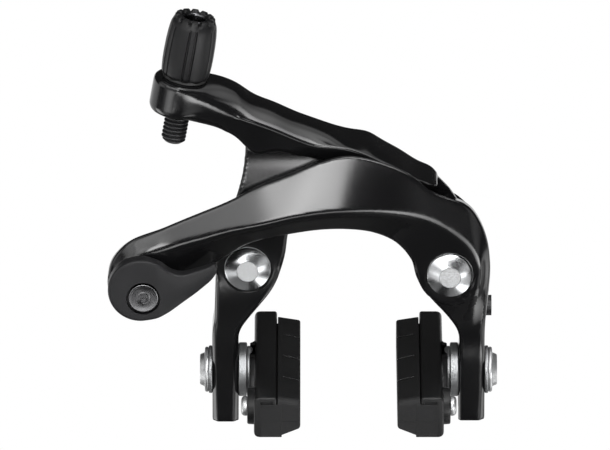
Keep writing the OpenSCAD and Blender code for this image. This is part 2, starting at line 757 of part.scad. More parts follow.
// Least gap of the wire to itself, measured on points along a finer copy of its path
fine_path = concat(
    smooth_path(lower_leg, 12),
    [for (i = [1:coil_turns * 40 - 1]) coil_point(i / 40)],
    smooth_path(upper_leg, 12));
near_skip = 14;
spring_self_gap = min([for (i = [0:len(fine_path) - near_skip - 1]) for (j = [i + near_skip:len(fine_path) - 1])
    norm(fine_path[i] - fine_path[j])]) - wire_d;
echo(spring_self_gap = spring_self_gap);

module return_spring() {
    color("darkgray")
        loft([for (i = [0:len(spring_path) - 1]) spring_ring(i, 6)]);
}

// Centring screw that presses on the spring's lower leg
centring_y = coil_front - 0.3;
centring_z = -12.2;
centring_tip = half_spacing + 5.3;
centring_seat = leg_out + 0.2;
centring_head_t = 1.4;

module centring_screw() {
    color("black")
        difference() {
            union() {
                x_cylinder(centring_tip, centring_seat + eps, centring_y, centring_z, centring_d);
                x_cylinder(centring_seat, centring_seat + centring_head_t, centring_y, centring_z, centring_head_d);
            }
            translate([centring_seat + centring_head_t - small_socket_depth, centring_y, centring_z])
                rotate([0, 90, 0])
                    hex_prism(small_socket, small_socket_depth + eps);
        }
}

// Quick release at the cable anchor

// Lever outline relative to its axis: round disc and a tapering tail
lever_disc = [-0.65, 1.95];
lever_upper = [[1.5, 9.6], [4.4, 8.3], [6.8, 6.55], [9.2, 5.95], [12, 6.5], [15.6, 7.6]];
lever_lower = [[16.9, 5.1], [14.2, 1.8], [10.8, -1.1], [7.4, -3.7], [2.6, -5.1]];

module lever_outline() {
    translate(lever_axis) {
        translate(lever_disc) circle(d = lever_disc_d);
        polygon(concat([lever_disc], smooth_path(lever_upper, 4), [[17.6, 8.3], [17.9, 7.3]],
                       smooth_path(lever_lower, 4)));
    }
}

flush_depth = 0.1;
screw_front = lever_front + flush_depth;
screw_seat = screw_front + lever_screw_t;
shaft_front = screw_seat;
lever_shank_d = 3;
lever_shank_len = 5;
lever_socket = 2.5;
lever_socket_depth = 1.2;
screw_rim_gap = 0.2;

module quick_release_lever() {
    color("#3a3b3d")
        difference() {
            y_slab(lever_front, lever_rear) lever_outline();
            y_cylinder(lever_axis, cam_shaft_d, lever_front - eps, lever_rear + eps);
            y_cylinder(lever_axis, lever_screw_d + 2 * screw_rim_gap, lever_front - eps, screw_seat);
        }
}

module lever_screw() {
    color("#454648")
        difference() {
            union() {
                y_cylinder(lever_axis, lever_screw_d, screw_front, screw_seat);
                y_cylinder(lever_axis, lever_shank_d, screw_seat - eps, shaft_front + lever_shank_len);
            }
            translate([lever_axis[0], screw_front - eps, lever_axis[1]])
                rotate([-90, 0, 0])
                    hex_prism(lever_socket, lever_socket_depth + eps);
        }
}

flange_front = arch_back + flange_gap;
flange_rear = flange_front + cam_flange_t;
clamp_front = flange_rear + cable_d;
clamp_rear = clamp_front + clamp_t;
cable_head_t = 3.5;
cable_head_d = 8;
cable_socket = 4;
cable_socket_depth = 2.5;
clamp_half_w = 5;
clamp_half_h = 4.6;
clamp_groove_depth = 0.3;
clamp_groove_w = cable_d - 0.4;
flange_floor = 0.4;

module cam_shaft() {
    color("silver")
        difference() {
            union() {
                y_cylinder(lever_axis, cam_shaft_d, shaft_front, flange_front + eps);
                y_cylinder(lever_axis, cam_flange_d, flange_front, flange_rear);
            }
            y_cylinder(lever_axis, lever_shank_d, shaft_front - eps, shaft_front + lever_shank_len);
            y_cylinder(cable_bolt_axis, cable_bolt_d, flange_front + flange_floor, flange_rear + eps);
        }
}

module cable_clamp_plate() {
    color("silver")
        difference() {
            y_slab(clamp_front, clamp_rear)
                translate(cable_bolt_axis)
                    difference() {
                        square([2 * clamp_half_w, 2 * clamp_half_h], center = true);
                        circle(d = cable_bolt_d);
                    }
            y_slab(clamp_front - eps, clamp_front + clamp_groove_depth)
                translate([cable_x, lever_axis[1]])
                    square([clamp_groove_w, 4 * clamp_half_h], center = true);
        }
}

module cable_fixing_bolt() {
    color("silver")
        difference() {
            union() {
                y_cylinder(cable_bolt_axis, cable_bolt_d, flange_front + flange_floor, clamp_rear + eps);
                y_cylinder(cable_bolt_axis, cable_head_d, clamp_rear, clamp_rear + cable_head_t);
            }
            translate([cable_bolt_axis[0], clamp_rear + cable_head_t - cable_socket_depth, cable_bolt_axis[1]])
                rotate([-90, 0, 0])
                    hex_prism(cable_socket, cable_socket_depth + eps);
        }
}

// Cable adjuster, at heights along the cable's axis above the middle of the eye
eye_top = eye_h / 2;
knob_foot = eye_top + knob_gap;
knob_top = knob_foot + knob_h;
seat_sink = 0.5;
seat_floor = 0.6;
seat_foot = knob_top - seat_sink - seat_h;
bolt_top = seat_foot - 0.4;
seat_d = housing_d + 2 * seat_wall;

module detent_ring() {
    ring_r = adjuster_d / 2 + ring_cord_d / 2 + 0.5;
    color("black")
        on_cable_axis(eye_top + ring_cord_d / 2)
            rotate_extrude()
                translate([ring_r, 0]) circle(d = ring_cord_d, $fn = 32);
}

module housing_seat() {
    color("silver")
        on_cable_axis(seat_foot)
            difference() {
                cylinder(d = seat_d, h = seat_h);
                translate([0, 0, seat_floor]) cylinder(d = housing_d, h = seat_h);
                translate([0, 0, -eps]) cylinder(d = cable_hole_d, h = seat_h);
            }
}

module adjuster_bolt() {
    foot = -eye_top - adjuster_tail;
    color("#202022")
        on_cable_axis(foot)
            difference() {
                cylinder(d = adjuster_d, h = bolt_top - foot);
                translate([0, 0, -eps]) cylinder(d = cable_hole_d, h = bolt_top - foot + 2 * eps);
            }
}

module adjuster_knob() {
    widest = knob_d / 2;
    groove_across = 0.8;
    color("#262628")
        on_cable_axis(knob_foot)
            difference() {
                rotate_extrude()
                    polygon([[0, 0], [widest - 0.1, 0], [widest, knob_h * 0.15], [widest - 0.15, knob_h * 0.5],
                             [widest - 0.35, knob_h * 0.72], [widest - 1, knob_h * 0.93],
                             [knob_top_d / 2, knob_h], [0, knob_h]]);
                translate([0, 0, -eps]) cylinder(d = adjuster_d, h = bolt_top - knob_foot + eps);
                translate([0, 0, bolt_top - knob_foot - eps])
                    cylinder(d = seat_d + 2 * run_clear, h = knob_h);
                for (i = [0:knob_grooves - 1])
                    rotate([0, 0, 360 * i / knob_grooves])
                        translate([widest - 0.8, -groove_across / 2, -eps])
                            cube([groove_across * 2, groove_across, knob_h * 0.7]);
            }
}

// Brake shoes, drawn on the right side and mirrored to the left

shoe_z = -shoe_drop;
washer_in = leg_in - knurled_washer_t;
convex_in = washer_in - convex_washer_t;
holder_in = convex_in - holder_back;
holder_lip = holder_in - pad_inside;
pad_face = holder_lip - pad_show;
shoe_hole_d = shoe_bolt_d + 2 * run_clear;
holder_end = 2.2;
shoe_front = -shoe_setback - pad_len * front_share;
shoe_rear = shoe_front + pad_len;

// Outline of distance to the right and height above the shoe bolt, run along the shoe
module along_shoe(from_y, to_y) {
    translate([0, 0, shoe_z])
        y_slab(from_y, to_y)
            children();
}

module shoe_bolt(side) {
    shank_in = holder_in + 0.5;
    flange_in = leg_out + outer_washer_t;
    bolt_head_h = bolt_flange_t + bolt_cone_h;
    tip_r = bolt_cone_d / 2 - bolt_cone_h * 0.6;
    color("silver")
        on_side(side)
            difference() {
                union() {
                    x_cylinder(shank_in, flange_in + eps, -shoe_setback, shoe_z, shoe_bolt_d);
                    x_turned(flange_in, -shoe_setback, shoe_z)
                        polygon([[0, 0], [bolt_flange_d / 2, 0], [bolt_flange_d / 2, bolt_flange_t],
                                 [bolt_cone_d / 2, bolt_flange_t], [tip_r, bolt_head_h], [0, bolt_head_h]]);
                }
                translate([flange_in + bolt_head_h - bolt_socket_depth, -shoe_setback, shoe_z])
                    rotate([0, 90, 0])
                        hex_prism(bolt_socket, bolt_socket_depth + eps);
            }
}

module flat_washer(side, from_x, to_x, d, hole_d) {
    on_side(side)
        difference() {
            x_cylinder(from_x, to_x, -shoe_setback, shoe_z, d);
            x_cylinder(from_x - eps, to_x + eps, -shoe_setback, shoe_z, hole_d);
        }
}

module outer_washer(side) {
    color("silver")
        flat_washer(side, leg_out, leg_out + outer_washer_t, outer_washer_d, shoe_bolt_d);
}

module knurled_washer(side) {
    color("silver")
        flat_washer(side, washer_in, leg_in, knurled_washer_d, shoe_bolt_d);
}

module convex_washer(side) {
    r = convex_washer_d / 2;
    hole_r = shoe_hole_d / 2;
    color("gray")
        on_side(side)
            x_turned(convex_in, -shoe_setback, shoe_z)
                polygon([[hole_r, 0], [r - 0.6, 0], [r, 0.5], [r, convex_washer_t * 0.6],
                         [r - 1, convex_washer_t], [hole_r, convex_washer_t]]);
}

module shoe_holder(side) {
    room_h = pad_h - 2 * holder_wall;
    color("black")
        on_side(side)
            difference() {
                along_shoe(shoe_front, shoe_rear + holder_end)
                    translate([holder_lip, -pad_h / 2])
                        square([convex_in - holder_lip, pad_h]);
                along_shoe(shoe_front - eps, shoe_rear)
                    translate([holder_lip - eps, -room_h / 2])
                        square([pad_inside + eps, room_h]);
                x_cylinder(0, through, -shoe_setback, shoe_z, shoe_hole_d);
                x_cylinder(0, through, pad_screw_y, shoe_z, pad_screw_d);
            }
}

module brake_pad(side) {
    room_h = pad_h - 2 * holder_wall - 2 * pad_clear;
    groove_step = pad_len / 4;
    pad_back = holder_lip - pad_clear;
    color("#1c1c1d")
        on_side(side)
            difference() {
                union() {
                    along_shoe(shoe_front, shoe_rear)
                        polygon([[pad_back, -pad_h / 2], [pad_back, pad_h / 2],
                                 [pad_face, pad_h / 2 - 0.9], [pad_face, -pad_h / 2 + 2.2]]);
                    along_shoe(shoe_front, shoe_rear - pad_clear)
                        translate([pad_back - eps, -room_h / 2])
                            square([pad_inside + eps, room_h]);
                }
                for (i = [1:3])
                    translate([pad_face - eps, shoe_front + i * groove_step - groove_w / 2, shoe_z - pad_h])
                        cube([groove_depth + eps, groove_w, 2 * pad_h]);
                x_cylinder(holder_in - 1.2, through, -shoe_setback, shoe_z, shoe_hole_d);
                x_cylinder(holder_in - 2, through, pad_screw_y, shoe_z, pad_screw_d);
            }
}

// Small screw through the holder's back that keeps the pad in
pad_screw_y = shoe_front + pad_screw_inset;
small_socket = 2;
small_socket_depth = 1;

module pad_screw(side) {
    head_in = convex_in;
    color("silver")
        on_side(side)
            difference() {
                union() {
                    x_cylinder(holder_in - 1.6, head_in + eps, pad_screw_y, shoe_z, pad_screw_d);
                    x_cylinder(head_in, head_in + pad_screw_head_t, pad_screw_y, shoe_z, pad_screw_head_d);
                }
                translate([head_in + pad_screw_head_t - small_socket_depth, pad_screw_y, shoe_z])
                    rotate([0, 90, 0])
                        hex_prism(small_socket, small_socket_depth + eps);
            }
}

booster_plate();
left_pivot_axle();
right_pivot_axle();
thrust_washers();
right_arm();
right_bush();
return_spring();
centring_screw();
left_arm();
left_bush();
roller_pin();
sync_roller();
quick_release_lever();
lever_screw();
cam_shaft();
cable_clamp_plate();
cable_fixing_bolt();
detent_ring();
housing_seat();
adjuster_bolt();
adjuster_knob();
shoe_bolt("left");  // left_shoe_bolt
outer_washer("left");  // left_outer_washer
knurled_washer("left");  // left_knurled_washer
convex_washer("left");  // left_convex_washer
shoe_holder("left");  // left_shoe_holder
brake_pad("left");  // left_pad
pad_screw("left");  // left_pad_screw
shoe_bolt("right");  // right_shoe_bolt
outer_washer("right");  // right_outer_washer
knurled_washer("right");  // right_knurled_washer
convex_washer("right");  // right_convex_washer
shoe_holder("right");  // right_shoe_holder
brake_pad("right");  // right_pad
pad_screw("right");  // right_pad_screw
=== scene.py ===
"""Looks of a direct-mount rim brake caliper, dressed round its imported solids."""

import json
import math

import bmesh
import bpy
import numpy as np
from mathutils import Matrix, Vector


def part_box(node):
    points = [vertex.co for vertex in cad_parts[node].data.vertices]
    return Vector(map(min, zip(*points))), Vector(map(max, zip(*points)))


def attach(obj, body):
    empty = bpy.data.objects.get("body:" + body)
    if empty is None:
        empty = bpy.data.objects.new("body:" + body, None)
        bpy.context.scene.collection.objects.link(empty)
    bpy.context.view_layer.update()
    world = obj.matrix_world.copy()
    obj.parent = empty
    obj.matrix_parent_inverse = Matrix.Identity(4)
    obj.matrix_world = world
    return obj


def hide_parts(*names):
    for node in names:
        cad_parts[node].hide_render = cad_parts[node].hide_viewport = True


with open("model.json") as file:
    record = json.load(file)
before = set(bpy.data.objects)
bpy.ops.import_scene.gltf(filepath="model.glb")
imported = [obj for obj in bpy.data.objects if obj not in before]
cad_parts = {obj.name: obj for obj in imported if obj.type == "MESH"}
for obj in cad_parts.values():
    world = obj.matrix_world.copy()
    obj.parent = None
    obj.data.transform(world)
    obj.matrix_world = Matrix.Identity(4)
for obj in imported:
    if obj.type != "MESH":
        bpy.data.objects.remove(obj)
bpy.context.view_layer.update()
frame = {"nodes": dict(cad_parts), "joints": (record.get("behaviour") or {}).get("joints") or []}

# Shapes are worked out in millimetres and become metres when a piece is made
MM = 0.001
X, Y, Z = range(3)
ALONG_X = (1, 0, 0)
ALONG_Y = (0, 1, 0)
joints = {joint["name"]: joint for joint in frame["joints"]}


def low(node):
    """Lowest corner of a solid, in millimetres."""
    return np.array(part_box(node)[0]) / MM


def high(node):
    """Highest corner of a solid, in millimetres."""
    return np.array(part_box(node)[1]) / MM


def span(node, axis):
    """Where a solid starts and ends along an axis, in millimetres."""
    return low(node)[axis], high(node)[axis]


def middle_of(node):
    """Middle of a solid's box, in millimetres."""
    return (low(node) + high(node)) / 2


def joint_place(name):
    """A point on a joint's axis, in millimetres."""
    return np.array(joints[name]["pos_m"]) / MM


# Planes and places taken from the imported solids
PIVOT_X = joint_place("right_arm_pivot")[X]
LEFT_FACE, BOSS_REAR = span("left_bush", Y)
RIGHT_FACE = low("right_bush")[Y]
ARCH_BACK = low("left_pivot_axle")[Y] - 0.5
SHOULDER = BOSS_REAR - 6.4
LEG_IN = high("right_knurled_washer")[X]
LEG_OUT = low("right_outer_washer")[X]
ROLLER = joint_place("roller_spin")
ROLLER_PLACE = ROLLER[[X, Z]]
ARCH_CLEAR = ROLLER[Z] - 15.15
LEVER_AXIS = joint_place("quick_release_turn")[[X, Z]]
ANCHOR = LEVER_AXIS + np.array([-0.6, 1.3])
EYE = joint_place("adjuster_turn")
CABLE_WAY = np.array(joints["adjuster_turn"]["axis"])
SHOE_Y, SHOE_Z = joint_place("right_shoe_swivel")[1:]
LEG_FRONT = SHOE_Y - 5.2
LEG_BACK = SHOE_Y + 5.2
LEG_END = 11.5
BOSS_D = 15.6
BUSH_D = high("left_bush")[X] - low("left_bush")[X]
HEAD_RECESS_D = 12.5
HOLE_D = 6.08
VOXEL = 0.3

# Planes past everything, for cuts that run right through
FAR_FRONT = -60
FAR_REAR = 20
FAR_RIGHT = 60


def place_from(x, z):
    """A function that gives places in the XZ plane, measured from one of them."""
    return lambda dx, dz: np.array([x + dx, z + dz])


from_left = place_from(-PIVOT_X, 0)
from_right = place_from(PIVOT_X, 0)
from_arch = place_from(0, ARCH_CLEAR)
from_anchor = place_from(*ANCHOR)
from_eye = place_from(EYE[X], EYE[Z])
from_shoe = place_from(0, SHOE_Z)
LEFT_PIVOT = from_left(0, 0)
RIGHT_PIVOT = from_right(0, 0)

# Shapes: each is a list of points in millimetres and a list of faces


def join_shapes(*shapes):
    """Several shapes as one, lying over each other as they are."""
    points = []
    faces = []
    for shape_points, shape_faces in shapes:
        start = len(points)
        points.extend(shape_points)
        faces.extend([[start + i for i in face] for face in shape_faces])
    return points, faces


def loft(rings, loop=False):
    """Skin through closed rings of equal length, with end caps or run round to the first ring."""
    count = len(rings)
    sides = len(rings[0])
    points = [tuple(point) for ring in rings for point in ring]
    faces = []
    for i in range(count if loop else count - 1):
        here = i * sides
        there = (i + 1) % count * sides
        for j in range(sides):
            k = (j + 1) % sides
            faces.append([here + j, here + k, there + k, there + j])
    if not loop:
        faces.append(list(range(sides))[::-1])
        faces.append([(count - 1) * sides + j for j in range(sides)])
    return points, faces


def frame_about(axis):
    """Two directions square to an axis, and the axis itself."""
    way = np.array(axis, float)
    way /= np.linalg.norm(way)
    side = np.cross(way, [0.0, 0.0, 1.0])
    if np.linalg.norm(side) < 0.5:
        side = np.array([1.0, 0.0, 0.0])
        side -= way * side.dot(way)
    side /= np.linalg.norm(side)
    return side, np.cross(way, side), way


def turned(profile, origin, axis, steps=96, loop=False):
    """Turned solid from pairs of radius and height, or with loop a ring whose outline closes on itself.

    A radius or height is one number, or a list with one for each step.
    """
    side, up, way = frame_about(axis)
    angles = np.arange(steps) * 2 * math.pi / steps
    circle = np.outer(np.cos(angles), side) + np.outer(np.sin(angles), up)
    rings = []
    for pair in profile:
        radii, heights = [np.broadcast_to(np.asarray(value, float), steps)[:, None] for value in pair]
        rings.append(np.array(origin) + circle * radii + heights * way)
    return loft(rings, loop)


def raised(base, *pairs):
    """Pairs of radius and height, with the heights counted from a base."""
    return [(radius, base + height) for radius, height in pairs]


def cylinder(start, end, diameter):
    """Plain round bar between two points, used to cut holes and to build bosses."""
    start = np.array(start, float)
    way = np.array(end, float) - start
    length = np.linalg.norm(way)
    return turned([(diameter / 2, 0), (diameter / 2, length)], start, way)


def y_cylinder(place, diameter, from_y, to_y):
    return cylinder([place[0], from_y, place[1]], [place[0], to_y, place[1]], diameter)


def y_slab(outline, from_y, to_y):
    """Outline in the XZ plane made into a slab along Y."""
    return loft([[(x, y, z) for x, z in outline] for y in (from_y, to_y)])


def hex_bar(origin, axis, across_flats, start, end):
    """Six-sided bar that cuts a socket."""
    radius = across_flats / 2 / math.cos(math.pi / 6)
    return turned([(radius, start), (radius, end)], origin, axis, 6)


def arc(middle, radius, degrees):
    """Points round a middle, one for each angle."""
    return [np.array(middle) + radius * np.array([math.cos(a), math.sin(a)]) for a in np.radians(degrees)]


def lengths_along(points):
    """Distance along a line of points up to each of them."""
    return np.concatenate([[0], np.cumsum(np.linalg.norm(np.diff(points, axis=0), axis=1))])


def curve_at(knots, values, at):
    """Smooth curve through values at uneven knots, read at a list of places."""
    gaps = np.diff(knots)[:, None]
    slopes = np.diff(values, axis=0) / gaps
    inner = (slopes[1:] * gaps[:-1] + slopes[:-1] * gaps[1:]) / (gaps[1:] + gaps[:-1])
    tangents = np.concatenate([slopes[:1], inner, slopes[-1:]])
    i = np.clip(np.searchsorted(knots, at, side="right") - 1, 0, len(knots) - 2)
    gap = gaps[i]
    t = (at - knots[i])[:, None] / gap
    return (
        values[i] * (2 * t**3 - 3 * t**2 + 1) + tangents[i] * gap * (t**3 - 2 * t**2 + t)
        + values[i + 1] * (3 * t**2 - 2 * t**3) + tangents[i + 1] * gap * (t**3 - t**2)
    )


def smooth_rows(rows, step, blur):
    """Rows of matching corners turned into many, a step apart, and blurred along the way."""
    rows = np.array(rows, float)
    knots = lengths_along(rows[:, :, :3].mean(axis=1))
    at = np.linspace(0, knots[-1], int(knots[-1] / step) + 1)
    fine = curve_at(knots, rows.reshape(len(rows), -1), at)
    return blurred(fine, blur / step).reshape(len(at), rows.shape[1], rows.shape[2])


def blurred(lines, width):
    """Lines of numbers blurred along their length, with their ends kept."""
    reach = int(width * 3)
    weights = np.exp(-0.5 * (np.arange(-reach, reach + 1) / width) ** 2)
    weights /= weights.sum()
    before = 2 * lines[0] - lines[reach:0:-1]
    after = 2 * lines[-1] - lines[-2:-reach - 2:-1]
    padded = np.concatenate([before, lines, after])
    columns = [np.convolve(padded[:, k], weights, mode="valid") for k in range(lines.shape[1])]
    return np.stack(columns, axis=1)


def round_corners(ring, radii, steps=6):
    """Closed ring whose corners are rounded, or cut flat in 2 steps, by a length along both edges."""
    most = 0.45
    count = len(ring)
    points = []
    for i in range(count):
        here = np.array(ring[i])
        before = np.array(ring[i - 1]) - here
        after = np.array(ring[(i + 1) % count]) - here
        first = here + before * min(radii[i] / np.linalg.norm(before), most)
        last = here + after * min(radii[i] / np.linalg.norm(after), most)
        for t in np.linspace(0, 1, steps if isinstance(steps, int) else steps[i]):
            points.append(first * (1 - t) ** 2 + here * 2 * t * (1 - t) + last * t**2)
    return np.array(points)


def smooth_outline(points, spacing, closed=True):
    """Smooth line through points, sampled at an even spacing."""
    points = np.array(points, float)
    wrapped = np.concatenate([points[-3:], points, points[:4]]) if closed else points
    knots = lengths_along(wrapped)
    start = knots[3] if closed else 0
    end = knots[3 + len(points)] if closed else knots[-1]
    at = np.linspace(start, end, max(int((end - start) / spacing), 8), endpoint=not closed)
    return curve_at(knots, wrapped, at)


# Pieces: objects made from shapes


def new_piece(name, shape, origin=(0, 0, 0)):
    """Object of a shape, with its own origin."""
    points, faces = shape
    origin = np.array(origin, float)
    mesh = bpy.data.meshes.new(name)
    mesh.from_pydata((np.array(points, float) - origin) * MM, [], faces)
    edit = bmesh.new()
    edit.from_mesh(mesh)
    bmesh.ops.recalc_face_normals(edit, faces=edit.faces)
    edit.to_mesh(mesh)
    edit.free()
    piece = bpy.data.objects.new(name, mesh)
    piece.location = origin * MM
    bpy.context.scene.collection.objects.link(piece)
    return piece


def apply_modifiers(piece):
    """Replaces a piece's mesh by what its modifiers make of it."""
    bpy.context.view_layer.update()
    graph = bpy.context.evaluated_depsgraph_get()
    made = bpy.data.meshes.new_from_object(piece.evaluated_get(graph))
    piece.modifiers.clear()
    old = piece.data
    piece.data = made
    bpy.data.meshes.remove(old)


def cut(piece, *shapes):
    """Takes shapes out of a piece."""
    for shape in shapes:
        tool = new_piece("cutter", shape)
        change = piece.modifiers.new("cut", "BOOLEAN")
        change.operation = "DIFFERENCE"
        change.solver = "MANIFOLD"
        change.object = tool
        apply_modifiers(piece)
        bpy.data.objects.remove(tool)


def fuse(piece, *shapes):
    """Adds shapes to a piece's mesh as they are."""
    for shape in shapes:
        extra = new_piece("extra", shape, np.array(piece.location) / MM)
        edit = bmesh.new()
        edit.from_mesh(piece.data)
        edit.from_mesh(extra.data)
        edit.to_mesh(piece.data)
        edit.free()
        bpy.data.objects.remove(extra)


def remesh(piece, voxel):
    """Even skin over everything in a piece's mesh."""
    change = piece.modifiers.new("skin", "REMESH")
    change.mode = "VOXEL"
    change.voxel_size = voxel * MM
    apply_modifiers(piece)


def points_of(piece):
    points = np.zeros(len(piece.data.vertices) * 3)
    piece.data.vertices.foreach_get("co", points)
    return points.reshape(-1, 3)


def set_points(piece, points):
    piece.data.vertices.foreach_set("co", points.ravel())
    piece.data.update()


def relax(piece, rounds, share=None):
    """Eases each point towards its neighbours, which rounds edges and fills inner corners."""
    points = points_of(piece)
    count = len(points)
    edges = np.zeros(len(piece.data.edges) * 2, int)
    piece.data.edges.foreach_get("vertices", edges)
    one = np.concatenate([edges[0::2], edges[1::2]])
    other = np.concatenate([edges[1::2], edges[0::2]])
    neighbours = np.maximum(np.bincount(one, minlength=count), 1)[:, None]
    strength = np.full((count, 1), 0.5) if share is None else 0.5 * share[:, None]
    moving = strength[one, 0] > 0
    one = one[moving]
    other = other[moving]
    for _ in range(rounds):
        sums = np.stack([np.bincount(one, points[other, k], count) for k in range(3)], axis=1)
        points = points + (sums / neighbours - points) * strength
    set_points(piece, points)


def near(piece, place, reach):
    """Share of 1 round a place in millimetres, down to 0 at a distance."""
    distance = np.linalg.norm(points_of(piece) / MM - np.array(place), axis=1)
    return np.clip(1.4 * (1 - distance / reach), 0, 1)


def shade(piece, angle=35):
    """Smooth shading that stays crisp at edges sharper than an angle."""
    piece.data.shade_smooth()
    piece.data.set_sharp_from_angle(angle=math.radians(angle))


def bevel(piece, width, segments=3, angle=35):
    """Small rounds along a piece's edges."""
    change = piece.modifiers.new("edges", "BEVEL")
    change.width = width * MM
    change.segments = segments
    change.limit_method = "ANGLE"
    change.angle_limit = math.radians(angle)
    change.harden_normals = False


def dress(piece, body, nodes, slot, *materials):
    """Sets what a piece rides on, stands for and is made of."""
    piece.data.materials.clear()
    for made in materials:
        piece.data.materials.append(made)
    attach(piece, body)
    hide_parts(*nodes)


def make_piece(name, shape, body, node, slot, made, angle=35, origin=(0, 0, 0), cuts=()):
    """A whole piece from its shape and the shapes cut from it, shaded and dressed."""
    piece = new_piece(name, shape, origin)
    cut(piece, *cuts)
    shade(piece, angle)
    dress(piece, body, [node], slot, made)
    return piece


# Materials: each is a shader with its own grain

NOISE_LOW = 0.3
NOISE_HIGH = 0.7
DRIFT = 0.15
RING_STRETCH = 0.7


def node_of(tree, kind, **values):
    """New node. Each value sets or links the input of its name, or else is a setting of the node."""
    made = tree.nodes.new(kind)
    for name, value in values.items():
        socket = made.inputs.get(name.replace("_", " "))
        if socket is None:
            setattr(made, name, value)
        elif isinstance(value, bpy.types.NodeSocket):
            tree.links.new(value, socket)
        else:
            socket.default_value = value
    return made


def shader_material(name, color, metallic, roughness, **sockets):
    """Material with a principled shader. Returns it with its node tree and shader."""
    made = bpy.data.materials.new(name)
    made.use_nodes = True
    made.diffuse_color = (*color, 1)
    tree = made.node_tree
    shader = tree.nodes["Principled BSDF"]
    shader.inputs["Base Color"].default_value = (*color, 1)
    shader.inputs["Metallic"].default_value = metallic
    shader.inputs["Roughness"].default_value = roughness
    for socket, value in sockets.items():
        shader.inputs[socket.replace("_", " ")].default_value = value
    return made, tree, shader


def noise(tree, grain, detail=3.0, stretch=(1, 1, 1)):
    """Noise over the piece's own space, with a grain size in millimetres."""
    space = node_of(tree, "ShaderNodeTexCoord").outputs["Object"]
    place = node_of(tree, "ShaderNodeMapping", Scale=stretch, Vector=space).outputs["Vector"]
    made = node_of(tree, "ShaderNodeTexNoise", Scale=1 / (grain * MM), Detail=detail, Vector=place)
    return made.outputs["Fac"]


def spread(tree, value, least, most):
    """A value from noise mapped to a range."""
    ramp = node_of(tree, "ShaderNodeMapRange", From_Min=NOISE_LOW, From_Max=NOISE_HIGH, To_Min=least,
                   To_Max=most, Value=value)
    return ramp.outputs["Result"]


def tint(tree, shader, value, dark, light):
    """Colour that drifts between two tones with a value from noise."""
    mix = node_of(tree, "ShaderNodeMix", data_type="RGBA")
    mix.inputs[6].default_value = (*dark, 1)
    mix.inputs[7].default_value = (*light, 1)
    tree.links.new(spread(tree, value, 0, 1), mix.inputs[0])
    tree.links.new(mix.outputs[2], shader.inputs["Base Color"])


def roughen(tree, shader, value, roughness, less, more, relief):
    """Gloss that varies between two shares of a roughness, and a fine relief in millimetres."""
    gloss = spread(tree, value, roughness * less, roughness * more)
    tree.links.new(gloss, shader.inputs["Roughness"])
    made = node_of(tree, "ShaderNodeBump", Strength=1.0, Distance=relief * MM, Height=value)
    tree.links.new(made.outputs["Normal"], shader.inputs["Normal"])


def grained(name, color, metallic, roughness, grain, relief, specular=0.5):
    """Material whose colour, gloss and surface vary with a grain size in millimetres."""
    made, tree, shader = shader_material(name, color, metallic, roughness, Specular_IOR_Level=specular)
    fine = noise(tree, grain)
    broad = noise(tree, grain * 24, 2.0)
    tint(tree, shader, broad, [c * (1 - DRIFT) for c in color], [c * (1 + DRIFT) for c in color])
    roughen(tree, shader, fine, roughness, 0.88, 1.12, relief)
    return made


def ringed(name, color, roughness, pitch, relief):
    """Turned metal: fine rings about the piece's own Y axis, with gloss drawn out across them."""
    made, tree, shader = shader_material(name, color, 1.0, roughness, Anisotropic=RING_STRETCH)
    space = node_of(tree, "ShaderNodeTexCoord").outputs["Object"]
    apart = node_of(tree, "ShaderNodeSeparateXYZ", Vector=space).outputs
    flat = node_of(tree, "ShaderNodeCombineXYZ", X=apart["X"], Y=apart["Z"]).outputs["Vector"]
    radius = node_of(tree, "ShaderNodeVectorMath", operation="LENGTH", Vector=flat).outputs["Value"]
    line = node_of(tree, "ShaderNodeTexNoise", noise_dimensions="1D", Scale=1 / (pitch * MM), Detail=2.0,
                   W=radius)
    roughen(tree, shader, line.outputs["Fac"], roughness, 0.8, 1.25, relief)
    turn = node_of(tree, "ShaderNodeTangent", direction_type="RADIAL", axis="Y")
    tree.links.new(turn.outputs["Tangent"], shader.inputs["Tangent"])
    return made


def brushed(name, color, roughness, grain, stretch, relief):
    """Metal with fine lines drawn out along one direction of the piece."""
    made, tree, shader = shader_material(name, color, 1.0, roughness)
    lines = noise(tree, grain, 4.0, stretch)
    tint(tree, shader, lines, [c * 0.8 for c in color], color)
    roughen(tree, shader, lines, roughness, 0.8, 1.3, relief)
    return made


def speckled(name, dark, light, roughness, grain, relief):
    """Metal with a coarse grain of dark and light specks."""
    made, tree, shader = shader_material(name, light, 1.0, roughness)
    specks = noise(tree, grain, 1.0)
    tint(tree, shader, specks, (dark,) * 3, light)
    roughen(tree, shader, specks, roughness, 0.8, 1.2, relief)
    return made


arm_paint = grained("arm_paint", (0.0035, 0.0035, 0.0038), 0, 0.15, 0.5, 0.0008)
# Darker, duller copy of the arm paint, put on faces that point down: painted shade
shaded_underside_paint = grained("shaded_underside_paint", (0.003, 0.003, 0.0032), 0, 0.4, 0.5, 0.0015, 0.12)
lever_paint = grained("lever_paint", (0.01, 0.01, 0.0108), 0, 0.42, 0.3, 0.006, 0.22)
holder_paint = grained("holder_paint", (0.004, 0.004, 0.0042), 0, 0.4, 0.15, 0.004, 0.3)
black_oxide = grained("black_oxide", (0.018, 0.018, 0.019), 0.4, 0.34, 0.12, 0.003)
knob_plastic = grained("knob_plastic", (0.006, 0.006, 0.0064), 0, 0.42, 0.2, 0.006, 0.22)
ring_rubber = grained("ring_rubber", (0.01, 0.01, 0.01), 0, 0.6, 0.15, 0.006)
pad_rubber = grained("pad_rubber", (0.006, 0.006, 0.0062), 0, 0.62, 0.12, 0.012, 0.2)
pad_end_rubber = grained("pad_end_rubber", (0.008, 0.008, 0.0083), 0, 0.6, 0.3, 0.02, 0.22)
# Light grey on the upward edges of the pad's water grooves: painted highlight
groove_edge_highlight = grained("groove_edge_highlight", (0.26, 0.26, 0.265), 0, 0.5, 0.3, 0.006)
roller_polymer = grained("roller_polymer", (0.07, 0.07, 0.07), 0, 0.45, 0.2, 0.004)
